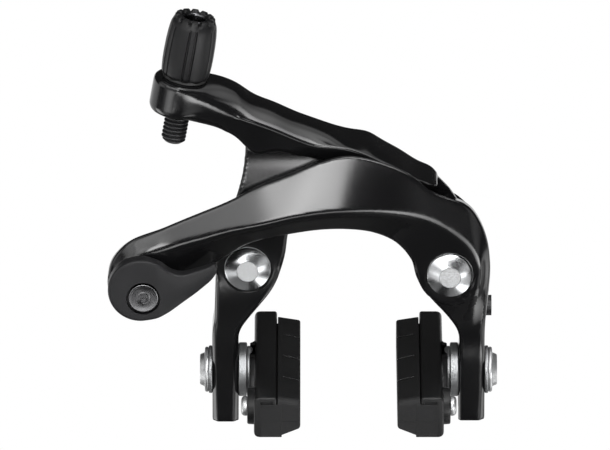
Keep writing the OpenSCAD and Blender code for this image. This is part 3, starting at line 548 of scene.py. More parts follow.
bush_polymer = grained("bush_polymer", (0.28, 0.23, 0.15), 0, 0.5, 0.2, 0.004)
turned_steel = ringed("turned_steel", (0.56, 0.57, 0.58), 0.2, 0.12, 0.0012)
disc_steel = speckled("disc_steel", 0.34, (0.56, 0.57, 0.58), 0.5, 0.34, 0.05)
dark_rings = ringed("dark_rings", (0.1, 0.1, 0.103), 0.26, 0.22, 0.004)
bright_steel = brushed("bright_steel", (0.5, 0.505, 0.51), 0.4, 0.2, (1, 1, 1), 0.0015)
washer_steel = brushed("washer_steel", (0.3, 0.305, 0.31), 0.42, 0.25, (4, 1, 1), 0.003)
plate_steel = brushed("plate_steel", (0.42, 0.43, 0.44), 0.38, 0.4, (0.15, 1, 1), 0.004)
spring_steel = brushed("spring_steel", (0.03, 0.03, 0.032), 0.34, 0.2, (1, 1, 1), 0.003)
seat_metal = brushed("seat_metal", (0.1, 0.1, 0.105), 0.24, 0.2, (1, 1, 0.3), 0.003)

# Right arm: cable anchor, arch over the wheel, right pivot and right leg

ROW_STEP = 0.5
LEG_EDGE_DIP = 0.04


def arm_section(measure, plane, outer, ridge, inner, rear_y, outer_rear_y=None, fall=0.42):
    """Corners of one section: outer edge, ridge and inner edge, then the two rear corners.

    The first three are given as x, z and depth from a place and a plane.
    """
    places = [measure(dx, dz) for dx, dz, _ in (outer, ridge, inner)]
    depths = [plane + depth for _, _, depth in (outer, ridge, inner)]
    back_y = rear_y if outer_rear_y is None else outer_rear_y
    inward = places[2] - places[0]
    outer_rear = places[0] + inward / np.linalg.norm(inward) * fall * (back_y - depths[0])
    front = [(x, y, z) for (x, z), y in zip(places, depths)]
    return [*front, (places[2][0], rear_y, places[2][1]), (outer_rear[0], back_y, outer_rear[1])]


def leg_row(outer_z, inner_z):
    """What arm_section takes for the lower leg, at two heights on its outer and inner faces."""
    inner_x = LEG_IN - PIVOT_X
    outer_x = LEG_OUT - PIVOT_X
    ridge = ((inner_x + outer_x) / 2, (outer_z + inner_z) / 2, 0)
    outer = (outer_x, outer_z, LEG_EDGE_DIP)
    inner = (inner_x, inner_z, LEG_EDGE_DIP)
    return place_from(PIVOT_X, SHOE_Z), LEG_FRONT, outer, ridge, inner, LEG_BACK, None, 0


# From the anchor to the end of the leg: what arm_section takes for each section
right_arm_table = [
    (from_anchor, ARCH_BACK, (-8.1, -0.6, -3.2), (-6.4, -2.4, -4.6), (-4.2, -6.9, -3.2), ARCH_BACK, None, 0),
    (from_anchor, ARCH_BACK, (-8.0, 3.6, -3.4), (-5.4, 1.0, -5.8), (-1.6, -8.0, -3.2), ARCH_BACK, None, 0),
    (from_anchor, ARCH_BACK, (-5.5, 8.3, -3.7), (-2.6, 5.8, -6.4), (1.2, -8.2, -3.5), ARCH_BACK, None, 0.2),
    (from_anchor, ARCH_BACK, (5.8, 14.7, -4.2), (8.0, 10.1, -6.3), (9.4, 0.5, -3.2), ARCH_BACK),
    (from_left, ARCH_BACK, (-12.1, 17.0, -4.2), (-10.9, 10.9, -6.7), (-7.3, 3.6, -3.2), ARCH_BACK),
    (from_left, ARCH_BACK, (-4.1, 20.5, -4.2), (-4.2, 12.9, -7.2), (-1.1, 7.9, -3.2), ARCH_BACK),
    (from_left, ARCH_BACK, (2.7, 24.1, -3.7), (2.6, 14.4, -7.7), (4.0, 9.7, -3.2), ARCH_BACK),
    (from_arch, ARCH_BACK, (-14.2, 15.35, -3.2), (-14.2, 4.7, -7.7), (-14.2, -0.85, -2.7), ARCH_BACK + 2.3),
    (from_arch, ARCH_BACK, (-7.2, 18.25, -2.7), (-7.2, 5.6, -7.2), (-7.1, 0.05, -2.2), ARCH_BACK + 4.3),
    (from_arch, ARCH_BACK, (0, 19.65, -2.2), (0, 5.95, -6.7), (0, 0, -1.7), ARCH_BACK + 5.3),
    (from_arch, RIGHT_FACE, (7.8, 17.95, -1), (7.8, 5.55, -4.5), (6.3, -1.15, 0), SHOULDER - 1.6),
    (from_arch, RIGHT_FACE, (14.8, 14.7, -1.2), (15.9, 3.9, -3), (11.6, -3.75, 0), SHOULDER, None, 0.2),
    (from_right, RIGHT_FACE, (-3.3, 21.2, -0.9), (-1.5, 12.7, -2.2), (-9.5, 3.7, 0), SHOULDER, None, 0.4),
    (from_right, RIGHT_FACE, (3.6, 18.5, -0.1), (4.5, 8.1, -2), (-8.9, 1.9, 0), SHOULDER, RIGHT_FACE + 4.4,
     0.15),
    (from_right, RIGHT_FACE, (8.4, 10.9, 1), (7.4, 2.3, -2), (-8.0, -1.6, 0), SHOULDER, RIGHT_FACE + 6, 0.1),
    (from_right, RIGHT_FACE, (9.8, 2.8, 1), (6.9, -3.3, -1.5), (-5.3, -6.2, 1), SHOULDER, SHOULDER - 1, 0.1),
    (from_right, RIGHT_FACE, (9.3, -6.9, 2), (5.6, -9.4, 1), (-0.5, -12.0, 2), LEG_BACK - 0.2, None, 0),
    leg_row(12.7, 11.2),
    leg_row(3.5, 4.0),
    leg_row(-LEG_END, -LEG_END),
]
right_arm_rows = [arm_section(*row) for row in right_arm_table]


def arm_loft(rows, radii, steps, blur=1.4):
    """Forged limb through rows of corners, with one set of rounding lengths for all rows or one for each."""
    lengths = radii if np.ndim(radii) == 2 else [radii] * len(rows)
    rows = [[(*corner, length) for corner, length in zip(*pair)] for pair in zip(rows, lengths)]
    return loft([round_corners(ring[:, :3], ring[:, 3], steps) for ring in smooth_rows(rows, ROW_STEP, blur)])


def hump_room():
    """Space above the arch's floor for the other arm's hump."""
    floor = arc((0, 0), np.linalg.norm(ROLLER_PLACE) - 4.2, np.arange(116, 58, -4))
    top = 60
    outline = [from_left(2.5, ARCH_CLEAR + 12.85), from_left(12.5, ARCH_CLEAR + 10.6), *floor,
               from_right(-6.5, 17), from_right(-0.5, 15), from_right(1.1, 16), from_right(1.5, top),
               from_left(2.5, top)]
    return y_slab(outline, ARCH_BACK - 1, FAR_REAR)


def track_rail():
    """Rail under the roller, and the foot that joins it to the arch."""
    half = high("sync_roller")[Y] - ROLLER[Y]
    floor_r = np.linalg.norm(ROLLER_PLACE) - (high("sync_roller")[Z] - ROLLER[Z]) - 0.15
    top = arc((0, 0), floor_r, np.linspace(104, 80, 9))
    first, last = top[0][0], top[-1][0]
    rail = [(last, ARCH_CLEAR + 3), (first, ARCH_CLEAR + 3), *top]
    foot = [from_arch(x, z) for x, z in ((last, 1.6), (last, 9), (first, 9), (first, 1.6))]
    rear = ROLLER[Y] + half
    return y_slab(rail, ROLLER[Y] - half, rear), y_slab(foot, ARCH_BACK - 1.2, rear)


def spring_cut():
    """Room for the coil, and the groove for the spring's lower leg."""
    groove = [from_right(1.8, -4), from_right(7.9, -1), from_right(7.7, -5), from_right(6.0, -9.6),
              from_right(5.1, -15.4), from_right(2.6, -15.4), from_right(2.9, -9)]
    return y_cylinder(RIGHT_PIVOT, 17.1, SHOULDER, FAR_REAR), y_slab(groove, SHOULDER, FAR_REAR)


def dress_arm(piece, body):
    """Gloss on the sides and top of an arm, and on what faces down a darker, duller copy of the paint:
    painted shade.
    """
    facing_down = -0.38
    shade(piece)
    dress(piece, body, [body], "arm_paint", arm_paint, shaded_underside_paint)
    # Faces that point down get the darker copy of the paint: painted shade
    for face in piece.data.polygons:
        face.material_index = 1 if face.normal.z < facing_down else 0


def height_slot(side):
    """Slot in a leg for the shoe bolt."""
    middle_z = SHOE_Z - 2
    upper = arc((0, 4.5), 3.15, np.arange(0, 181, 10))
    outline = upper + [(-y, -z) for y, z in upper]
    return loft([[(side * x, SHOE_Y + y, middle_z + z) for y, z in outline] for x in (20, 45)])


def pivot_cuts(place, face):
    """Hole for the bush and recess for the axle's head."""
    return y_cylinder(place, BUSH_D, FAR_FRONT, FAR_REAR), y_cylinder(place, HEAD_RECESS_D, FAR_FRONT, face)


def build_right_arm():
    edges = [(0.4, 1.6, 0.7, 0.8, 0.8)] * (len(right_arm_rows) - 4)
    edges += [(0.8, 1.0, 0.5, 1.1, 1.1)] * 2 + [(0.8, 0.6, 0.5, 1.1, 1.1), (1.3, 0.4, 0.6, 1.4, 1.4)]
    body = arm_loft(right_arm_rows, edges, (2, 6, 2, 3, 3))
    anchor_boss = y_cylinder(ANCHOR, 14.6, ARCH_BACK - 6.7, ARCH_BACK + 0.3)
    anchor_rim = y_cylinder(ANCHOR, 16.3, ARCH_BACK - 3.6, ARCH_BACK + 0.3)
    boss = y_cylinder(RIGHT_PIVOT, BOSS_D, RIGHT_FACE, SHOULDER)
    piece = new_piece("right_arm_forging", join_shapes(body, anchor_boss, anchor_rim, boss))
    remesh(piece, VOXEL)
    cut(piece, hump_room(), *spring_cut())
    hub = y_cylinder(RIGHT_PIVOT, 11.0, SHOULDER - 0.5, BOSS_REAR)
    fuse(piece, hub, *track_rail())
    remesh(piece, VOXEL)
    relax(piece, 3)
    screw_in, screw_out = span("centring_screw", X)
    screw_line = middle_of("centring_screw")[1:]
    screw_end = [FAR_RIGHT, *screw_line]
    cut(
        piece,
        *pivot_cuts(RIGHT_PIVOT, RIGHT_FACE),
        y_cylinder(LEVER_AXIS, HOLE_D, FAR_FRONT, FAR_REAR),
        height_slot(1),
        cylinder([screw_in, *screw_line], screw_end, 3.0),
        cylinder([screw_out - 1.4, *screw_line], screw_end, 5.8),
    )
    dress_arm(piece, "right_arm")


# Left arm: stem up from the left pivot, beam with the adjuster eye and the hump, left leg


def stem_section(measure, left, right, front_y, rear_y, fall=0):
    """Section of the stem: left and right edges measured from a place, front and rear."""
    left_x, left_z = measure(*left)
    right_x, right_z = measure(*right)
    return [(left_x, front_y, left_z), (left_x + fall, rear_y, left_z), (right_x, rear_y, right_z),
            (right_x, front_y, right_z)]


stem_rows = [
    stem_section(from_eye, (15.1, -9), (39, -11), LEFT_FACE + 2.4, LEFT_FACE + 8.2, 2.5),
    stem_section(from_eye, (15.1, -13.8), (37, -14.6), LEFT_FACE + 2.4, LEFT_FACE + 9, 3),
    stem_section(from_eye, (14.6, -19), (33, -19), LEFT_FACE + 1.1, LEFT_FACE + 10, 4),
    stem_section(from_left, (-3.1, 18.2), (12.2, 17.4), LEFT_FACE - 0.6, BOSS_REAR - 1, 4),
    stem_section(from_left, (-6.1, 8.7), (9.8, 8.7), LEFT_FACE - 0.2, BOSS_REAR - 0.5, 1.5),
    stem_section(from_left, (-7.5, 0), (9.0, 2.5), LEFT_FACE, BOSS_REAR),
    stem_section(from_left, (-7.9, -7.7), (6.1, -5.6), LEFT_FACE - 0.3, BOSS_REAR - 0.5),
    stem_section(from_left, (-8.1, -14.2), (1.5, -11.7), LEFT_FACE - 0.2, LEG_BACK),
]
for height in (11.5, 8.8, -LEG_END - 0.3):
    stem_rows.append(stem_section(from_shoe, (-LEG_OUT, height), (-LEG_IN, height), LEG_FRONT, LEG_BACK))

BEAM_FRONT = ROLLER[Y] - 5.8
BEAM_REAR = ROLLER[Y] + 5.7
HUMP_REAR = ROLLER[Y] + 8.3
BEAM_POWER = 5
BEAM_SHARES = [1, 0.6, 0.42, 0.3, 0.2, 0.12, 0.06]


def beam_section(place, top, ridge, bottom, inset=0, rear_y=BEAM_REAR):
    """Section of the beam: top curved down from the rear edge to the front ridge, and the lower edges."""
    x, z = place
    front_y = BEAM_FRONT + inset
    rear_y = rear_y - inset
    upper = []
    for share in BEAM_SHARES:
        rise = 1 - (1 - share) ** BEAM_POWER
        upper.append((x, front_y + (rear_y - front_y) * share, z + ridge + (top - ridge) * rise))
    return [*upper, (x, front_y, z + ridge), (x, front_y + 1.6, z + bottom), (x, rear_y, z + bottom)]


# From the eye to the end of the hump: place measured from, x, and what else beam_section takes
beam_table = [
    (from_eye, 0.4, 3.8, 3.6, -5.2),
    (from_eye, 4.2, 3.9, 2.6, -6.2, -1.3, BEAM_REAR - 1.3),
    (from_eye, 8.1, 3.3, -0.6, -7.2, -0.8, BEAM_REAR - 0.8),
    (from_eye, 12.9, 1.5, -3.8, -9.6),
    (from_eye, 17.7, -1.8, -5.3, -14.2),
    (from_eye, 22.6, -3.8, -7.3, -13.4),
    (from_eye, 27.4, -6.1, -9.5, -14.4),
    (from_arch, -8.2, 24.6, 21.2, 17.2),
    (from_arch, -3.3, 22.6, 21.0, 15.2, 0, BEAM_REAR + 0.6),
    (from_arch, 0.3, 20.9, 20.6, 13.4, 0, HUMP_REAR),
    (from_arch, 5.1, 20.0, 18.5, 12.8, 0, HUMP_REAR),
    (from_arch, 7.5, 18.4, 17.3, 12.4, 0, HUMP_REAR),
    (from_arch, 12.4, 15.5, 15.2, 11.2, 0, HUMP_REAR),
    (from_arch, 17.2, 12.4, 12.2, 9.6, 0.2, HUMP_REAR),
    (from_arch, 20.0, 11.4, 11.2, 8.9, 0.7, HUMP_REAR),
    (from_arch, 21.1, 10.8, 10.6, 9.1, 1.6, HUMP_REAR),
    (from_arch, 21.45, 10.2, 10.1, 9.5, 2.6, HUMP_REAR),
]
beam_rows = [beam_section(measure(x, 0), *rest) for measure, x, *rest in beam_table]

HOOK = from_arch(18.4, 9.6)
HOOK_OPEN = HOOK + np.array([-0.3, 0.3])
HOOK_CLOSED = HOOK + np.array([5.2, -5.2])
HOOK_ROOM_REAR = BEAM_REAR + 8


def arch_slab(outline, from_y, to_y):
    """Slab along Y whose outline is measured from the arch."""
    return y_slab([from_arch(x, z) for x, z in outline], from_y, to_y)


def hook_lug():
    """Plate behind the hump that carries the spring's hook."""
    outline = [(12, 12.4), (21.6, 9.5), (24.4, 6.5), (26.8, 2.9), (26, 0), (20, 3), (13, 7.6)]
    return arch_slab(outline, SHOULDER + 0.4, BEAM_REAR - 0.3)


def hook_slot():
    """Blind slot for the spring's hook, from the rest position to the closed one."""
    turn = math.degrees(math.atan2(*(HOOK_CLOSED - HOOK_OPEN)[::-1]))
    outline = []
    for end, start in ((HOOK_CLOSED, turn - 90), (HOOK_OPEN, turn + 90)):
        outline += arc(end, 1.3, start + np.arange(0, 181, 15))
    return y_slab(outline, SHOULDER + 0.9, HOOK_ROOM_REAR)


def arch_room():
    """Space in front of the stem for the other arm's arch."""
    return arch_slab([(-16, 1), (-6, 1), (-6, 10.8), (-16, 10.8)], BEAM_FRONT - 5, LEFT_FACE + 0.55)


def hook_room():
    """Space behind the hump for the wire that leads to the hook."""
    outline = [(16.4, 8.6), (18, 4), (25, -3), (31, 0), (24.3, 5.3), (19.8, 9.6), (17.9, 10.6), (16.9, 10.2)]
    return arch_slab(outline, BEAM_REAR - 0.1, HOOK_ROOM_REAR)


def on_cable(height):
    """Point on the cable's axis at a height above the middle of the eye."""
    return EYE + CABLE_WAY * height


EYE_TOP = 4.4


def eye_shape():
    """Upright eye with rounded upper and lower edges."""
    outline = raised(-EYE_TOP, (6.1, 0), (6.9, 0.3), (7.3, 1.3))
    outline += raised(EYE_TOP, (7.3, -1.0), (7.0, -0.25), (6.3, 0))
    return turned(outline, EYE, CABLE_WAY)


def roller_room():
    """Space in the beam for the roller, open below."""
    radius = 4.1
    half = radius + 1.5
    from_y = ROLLER[Y] - 3.2
    to_y = ROLLER[Y] + 3.2
    below = [(half, ARCH_CLEAR), (half, ROLLER[Z]), (-half, ROLLER[Z]), (-half, ARCH_CLEAR)]
    return y_slab(below, from_y, to_y), y_cylinder(ROLLER_PLACE, 2 * radius, from_y, to_y)


def build_left_arm():
    stem_edges = [(0.6, 1.1, 1.1, 0.5)] * 5 + [(0.8, 1.1, 1.1, 0.8)] * (len(stem_rows) - 6)
    stem_edges.append((1.3, 1.4, 1.4, 1.3))
    stem = arm_loft(stem_rows, stem_edges, (2, 3, 3, 2))
    curve = len(BEAM_SHARES) - 1
    beam_edges = (0.9, *[0.3] * curve, 0.5, 1.0, 1.2)
    beam = arm_loft(beam_rows, beam_edges, (3, *[2] * curve, 4, 3, 3), blur=1.0)
    piece = new_piece("left_arm_forging", join_shapes(
        stem, beam, eye_shape(), hook_lug(),
        y_cylinder(LEFT_PIVOT, BOSS_D, LEFT_FACE, BOSS_REAR),
        y_cylinder(ROLLER_PLACE, 6.8, BEAM_FRONT + 0.6, BEAM_REAR),
        y_cylinder(HOOK, 4.4, ROLLER[Y], BEAM_REAR - 0.3),
    ))
    remesh(piece, VOXEL)
    cut(piece, *roller_room())
    relax(piece, 3)
    relax(piece, round(24 / VOXEL**2), near(piece, EYE + [6, -5, -1], 8.5))
    cut(
        piece,
        y_cylinder(ROLLER_PLACE, 3.0, BEAM_FRONT - 5, BEAM_REAR + 5),
        *pivot_cuts(LEFT_PIVOT, LEFT_FACE),
        arch_room(),
        hook_slot(),
        hook_room(),
        cylinder(on_cable(-30), on_cable(30), HOLE_D),
        height_slot(-1),
    )
    dress_arm(piece, "left_arm")


build_right_arm()
build_left_arm()

# Pivot axles, turned from bar with a grainy disc in the middle of the head


def build_axle(side, place):
    node = f"{side}_pivot_axle"
    front, rear = span(node, Y)
    length = rear - front
    disc_r, cone_end, head_r, rim, shank_r, tap_r, tap = 2.6, 1.4, 5.5, 2.0, 4.0, 2.5, 11
    outline = [(0.01, 0.02), (disc_r - 0.12, 0.02), (disc_r - 0.05, 0.14), (disc_r, 0.14),
               (disc_r + 0.06, 0.0), (head_r - 0.2, cone_end - 0.05), (head_r - 0.05, cone_end + 0.08),
               (head_r, cone_end + 0.25), (head_r, rim - 0.1), (head_r - 0.1, rim), (shank_r, rim),
               (shank_r, length - 0.3), (shank_r - 0.3, length), (tap_r + 0.4, length), (tap_r, length - 0.4)]
    for turn in range(8):
        height = length - 0.9 - turn
        outline += [(tap_r, height), (tap_r + 0.35, height - 0.4), (tap_r, height - 0.8)]
    outline += [(tap_r, length - tap), (0.01, length - tap - 1)]
    origin = np.array([place[0], 0, place[1]])
    shape = turned(outline, origin + [0, front, 0], ALONG_Y, 128)
    piece = make_piece(f"{side}_axle_turned", shape, "mount", node, "turned_steel", turned_steel, 25, origin)
    piece.data.materials.append(disc_steel)
    for face in piece.data.polygons:
        middle = face.center / MM
        if math.hypot(middle.x, middle.z) < disc_r - 0.05 and middle.y < front + 0.1:
            face.material_index = 1


build_axle("left", LEFT_PIVOT)
build_axle("right", RIGHT_PIVOT)

# Quick release lever and its screw

LEVER_FRONT, LEVER_REAR = span("quick_release_lever", Y)
lever_lower = [(3.3, -5.3), (5.6, -4.25), (9.7, -1.5), (14.1, 2.0), (16.8, 4.7)]
lever_tip = [(17.7, 6.3), (17.8, 7.6), (17.3, 8.3)]
lever_upper = [(15.6, 7.6), (12, 6.5), (9.2, 5.95), (6.8, 6.55), (4.4, 8.3)]


def lever_outline():
    """Disc and tapering tail, run anticlockwise from the top of the disc."""
    disc = arc((-0.65, 1.95), 7.9, np.arange(75, 290, 9))
    return smooth_outline([*disc, *lever_lower, *lever_tip, *lever_upper], 0.35) + LEVER_AXIS


def inset_line(outline, inset):
    """A closed line moved inwards."""
    ahead = np.roll(outline, -1, axis=0) - np.roll(outline, 1, axis=0)
    normal = np.stack([-ahead[:, 1], ahead[:, 0]], axis=1)
    normal /= np.linalg.norm(normal, axis=1)[:, None]
    return outline + normal * inset


def rounded_slab(outline, from_y, to_y, front_round, rear_round, steps=5):
    """Slab along Y with rounded edges, from an outline run anticlockwise."""
    rings = []
    turns = np.linspace(0, math.pi / 2, steps)
    for end_y, way, length, order in ((from_y, 1, front_round, turns), (to_y, -1, rear_round, turns[::-1])):
        for t in order:
            line = inset_line(outline, length * (1 - math.sin(t)))
            rings.append([(x, end_y + way * (length * (1 - math.cos(t))), z) for x, z in line])
    return loft(rings)


def build_lever():
    """Lever whose front falls back towards the tip and the edges of its tail."""
    piece = new_piece("release_lever", rounded_slab(lever_outline(), LEVER_FRONT, LEVER_REAR, 0.5, 0.5))
    remesh(piece, 0.2)
    points = points_of(piece) / MM
    right = points[:, 0] - LEVER_AXIS[0]
    up = points[:, 2] - LEVER_AXIS[1]
    along = np.clip((right - 6) / 11, 0, 1)
    ahead = np.clip((LEVER_REAR - points[:, 1]) / (LEVER_REAR - LEVER_FRONT), 0, 1)
    across = up * 0.93 - right * 0.36
    swell = np.clip((right - 3) / 8, 0, 1)
    points[:, 1] += (1.1 * along**2 * (3 - 2 * along) + 0.05 * across**2 * swell**2 * (3 - 2 * swell)) * ahead
    set_points(piece, points * MM)
    relax(piece, 3)
    recess = (high("lever_screw") - low("lever_screw"))[X] + 0.2
    cut(
        piece,
        y_cylinder(LEVER_AXIS, recess, LEVER_FRONT - 5, LEVER_FRONT + 1.7),
        y_cylinder(LEVER_AXIS, 6.0, LEVER_FRONT - 5, LEVER_REAR + 5),
    )
    shade(piece)
    dress(piece, "quick_release", ["quick_release_lever"], "lever_paint", lever_paint)


def build_lever_screw():
    front, rear = span("lever_screw", Y)
    head_t, head_r, shank_r = 1.6, 3.6, 1.5
    outline = [(0.01, 0.3), (1.2, 0.3), (1.28, 0.16), (1.36, 0.12), (1.5, 0.22), (1.6, 0.24),
               (head_r - 0.25, 0.0), (head_r - 0.08, 0.06), (head_r, 0.25), (head_r, head_t),
               (shank_r, head_t), (shank_r, rear - front), (0.01, rear - front)]
    origin = np.array([LEVER_AXIS[0], 0, LEVER_AXIS[1]])
    make_piece("lever_screw_turned", turned(outline, origin + [0, front, 0], ALONG_Y), "quick_release",
               "lever_screw", "black_screw", dark_rings, 25, origin,
               [hex_bar(origin, ALONG_Y, 2.0, front - 1, front + 1.2)])


build_lever()
build_lever_screw()

# Cable adjuster: threaded bolt, ribbed knob, housing seat and detent ring

KNOB_FOOT = 5.4
KNOB_TOP = 20.6
SEAT_FOOT = 12.1
BOLT_FOOT = -12.2
BOLT_TOP = 11.7


def on_eye(profile, steps):
    """Ring about the cable's axis, with heights counted from the middle of the eye."""
    return turned(profile, EYE, CABLE_WAY, steps, loop=True)


def build_adjuster_bolt():
    pitch, outer_r, root_r, hole_r = 1.0, 2.98, 2.42, 1.2
    steps = 48
    turn = np.arange(steps) / steps
    profile = [(hole_r, BOLT_TOP), (hole_r, BOLT_FOOT + 0.3), (hole_r + 0.3, BOLT_FOOT)]
    for height in np.arange(BOLT_FOOT, -2.0, pitch / 14):
        phase = (height / pitch - turn) % 1
        wave = np.clip(1.25 - np.abs(phase - 0.5) * 2.6, 0, 0.92) / 0.92
        limit = root_r - 0.35 + (height - BOLT_FOOT) * 1.1
        profile.append((np.minimum(root_r + (outer_r - root_r) * wave, limit), height))
    profile += [(outer_r, -1.9), (outer_r, BOLT_TOP)]
    make_piece("adjuster_thread", on_eye(profile, steps), "adjuster", "adjuster_bolt", "black_screw",
               black_oxide, 60)


def rib_depth(steps):
    """How far the knob's skin lies in, round its girth: six wide ribs with a thin one between each two."""
    angle = (np.arange(steps) * 360 / steps) % 60
    depth = np.zeros(steps)
    for middle in (22, 38):
        depth = np.maximum(depth, np.clip(1.5 - np.abs(angle - middle) / 2.0, 0, 1))
    thin = np.clip(1.2 - np.abs(angle - 30) / 7, 0, 1)
    return depth * 0.42 + (depth < 0.5) * (np.abs(angle - 30) < 8) * 0.1 * thin


def build_knob():
    steps = 360
    depth = rib_depth(steps)
    shares = [0.0, 0.02, 0.05, 0.2, 0.35, 0.55, 0.7, 0.8, 0.86, 0.92]
    radii = [5.5, 5.75, 5.86, 6.04, 6.08, 6.02, 5.88, 5.7, 5.52, 5.14]
    profile = []
    for share in np.linspace(0, 0.92, 40):
        fade = np.clip((0.87 - share) / 0.05, 0, 1)
        height = KNOB_FOOT + (KNOB_TOP - KNOB_FOOT) * share
        profile.append((np.interp(share, shares, radii) - depth * fade, height))
    notch = np.clip(1.6 - np.abs((np.arange(steps) * 360 / steps) % 30 - 15) / 4, 0, 1)
    crown = KNOB_TOP - 0.55 * notch
    profile += [
        (5.0 - 0.35 * notch, KNOB_TOP - 0.95), (4.86 - 0.5 * notch, crown - 0.25), (4.6, crown - 0.05),
        (4.3, crown), (3.72, crown), (3.5, crown - 0.3), (3.34, KNOB_TOP - 1.0), (3.34, BOLT_TOP),
        (3.0, BOLT_TOP), (3.0, KNOB_FOOT),
    ]
    make_piece("adjuster_knob_ribbed", on_eye(profile, steps), "adjuster", "adjuster_knob", "knob_plastic",
               knob_plastic, 40)


def build_housing_seat():
    profile = raised(SEAT_FOOT, (1.2, 0), (3.2, 0), (3.3, 0.1))
    profile += raised(SEAT_FOOT + 8, (3.3, -0.15), (3.15, 0), (2.8, 0), (2.6, -0.25), (2.55, -0.5))
    profile += raised(SEAT_FOOT, (2.55, 0.6), (1.2, 0.6))
    make_piece("housing_seat_turned", on_eye(profile, 96), "adjuster_carriage", "housing_seat", "seat_metal",
               seat_metal)


def build_detent_ring():
    steps = 180
    wave = 0.5 + 0.5 * np.cos(np.arange(steps) * 2 * math.pi * 10 / steps)
    top = EYE_TOP + 0.55 + 0.32 * wave
    profile = raised(EYE_TOP, (3.5, 0.02), (5.2, 0.02), (5.3, 0.15))
    profile += raised(top, (5.28, -0.12), (5.1, 0), (3.65, 0), (3.5, -0.12))
    make_piece("detent_ring_notched", on_eye(profile, steps), "left_arm", "detent_ring", "ring_rubber",
               ring_rubber)


build_adjuster_bolt()
build_knob()
build_housing_seat()
build_detent_ring()

# Brake shoes, worked out on the right side and mirrored to the left

shoe_origin = np.array([0, SHOE_Y, SHOE_Z])
PAD_H = 10.4
HALF_H = PAD_H / 2
HOLDER_LIP, HOLDER_BACK = span("right_shoe_holder", X)
SHOE_FRONT, PAD_REAR = span("right_pad", Y)
SHOE_REAR = high("right_shoe_holder")[Y]
PAD_FACE = low("right_pad")[X]
SCREW_SEAT = HOLDER_BACK + 1.65
WALL_END = 4.6


def mirrored(shape, side):
    """A shape of the right side, for either side."""
    points, faces = shape
    if side == "right":
        return shape
    return [(-x, y, z) for x, y, z in points], [face[::-1] for face in faces]


def x_turned(profile, steps=96, loop=False):
    return turned(profile, shoe_origin, ALONG_X, steps, loop)


def make_shoe_piece(side, name, node, body, slot, shape, made, cuts=(), origin=shoe_origin):
    return make_piece(f"{side}_{name}", mirrored(shape, side), f"{side}_{body}", f"{side}_{node}", slot, made,
                      30, origin, [mirrored(shape_cut, side) for shape_cut in cuts])


def shoe_slab(outline, from_y, to_y):
    """Slab along Y whose outline has its heights counted from the shoe's middle."""
    return y_slab([from_shoe(x, z) for x, z in outline], from_y, to_y)


def bolt_shape():
    shank_in, top = span("right_shoe_bolt", X)
    profile = raised(shank_in, (0.01, 0), (2.8, 0), (3.0, 0.2))
    profile += raised(high("right_outer_washer")[X], (3.0, 0), (5.2, 0), (5.4, 0.08), (5.5, 0.3), (5.48, 0.6),
                      (5.35, 0.82), (5.1, 0.92), (4.45, 0.95), (4.2, 1.0), (4.1, 1.1))
    profile += raised(top, (3.72, -0.15), (3.6, -0.03), (3.45, 0), (0.01, 0))
    return x_turned(profile), [hex_bar(shoe_origin, ALONG_X, 4, top - 2.6, top + 1)]


def washer_shape(node, hole_r, edge):
    start, end = span(node, X)
    radius = (high(node) - low(node))[Z] / 2
    profile = [(hole_r, start), (radius - edge, start), (radius - edge * 0.3, start + edge * 0.3),
               (radius, start + edge), (radius, end - edge), (radius - edge * 0.3, end - edge * 0.3),
               (radius - edge, end), (hole_r, end)]
    return x_turned(profile, loop=True)


def knurled_shape():
    """Washer whose rim carries crossing fine ridges."""
    start, end = span("right_knurled_washer", X)
    steps = 288
    turn = np.arange(steps) * 2 * math.pi / steps
    profile = raised(start, (3.0, 0), (6.2, 0), (6.42, 0.12))
    for share in np.linspace(0.1, 0.9, 13):
        lean = share * 5
        ridges = np.abs(np.sin(turn * 36 + lean)) * np.abs(np.sin(turn * 36 - lean))
        profile.append((6.54 + 0.035 * ridges, start + (end - start) * share))
    profile += raised(end, (6.42, -0.12), (6.2, 0), (3.0, 0))
    return x_turned(profile, steps, True)


def convex_shape():
    start, end = span("right_convex_washer", X)
    hole_r, flat_r, radius = 3.04, 3.7, 5.7
    profile = [(hole_r, start), (flat_r, start)]
    for a in np.radians(np.arange(80, -1, -10)):
        height = end - 0.35 - (end - start - 0.35) * math.sin(a)
        profile.append((flat_r + (radius - flat_r) * math.cos(a), height))
    profile += [(radius, end - 0.15), (radius - 0.2, end), (hole_r, end)]
    return x_turned(profile, loop=True)


def box_outline(low_corner, high_corner, radii):
    """Rectangle with its own round at each corner, run anticlockwise from the lowest corner."""
    (x0, z0), (x1, z1) = low_corner, high_corner
    ring = [(x0, z0, 0), (x1, z0, 0), (x1, z1, 0), (x0, z1, 0)]
    return round_corners(ring, radii)[:, :2]


def back_ring():
    """Raised ring on the holder's back round the bolt, level with its upper and lower sides."""
    profile = raised(HOLDER_BACK, (5.9, -0.2), (5.9, 0.95), (6.0, 1.06), (6.55, 1.06), (6.8, 0.95),
                     (8.1, -0.2))
    points, faces = x_turned(profile, loop=True)
    half = HALF_H - 0.1
    return [(x, y, min(max(z, SHOE_Z - half), SHOE_Z + half)) for x, y, z in points], faces


# Middle of the pad screw, on the plane of symmetry
SCREW_PLACE = middle_of("right_pad_screw") * [0, 1, 1] + [0, 1.0, 0.4]


def hollow(start, lip, deep, neck, room):
    """Outline of the channel or the tongue in it: narrow between the lips and wider behind them."""
    upper = [(deep, room), (lip, room), (lip, neck), (start, neck)]
    return [(x, -z) for x, z in upper[::-1]] + upper


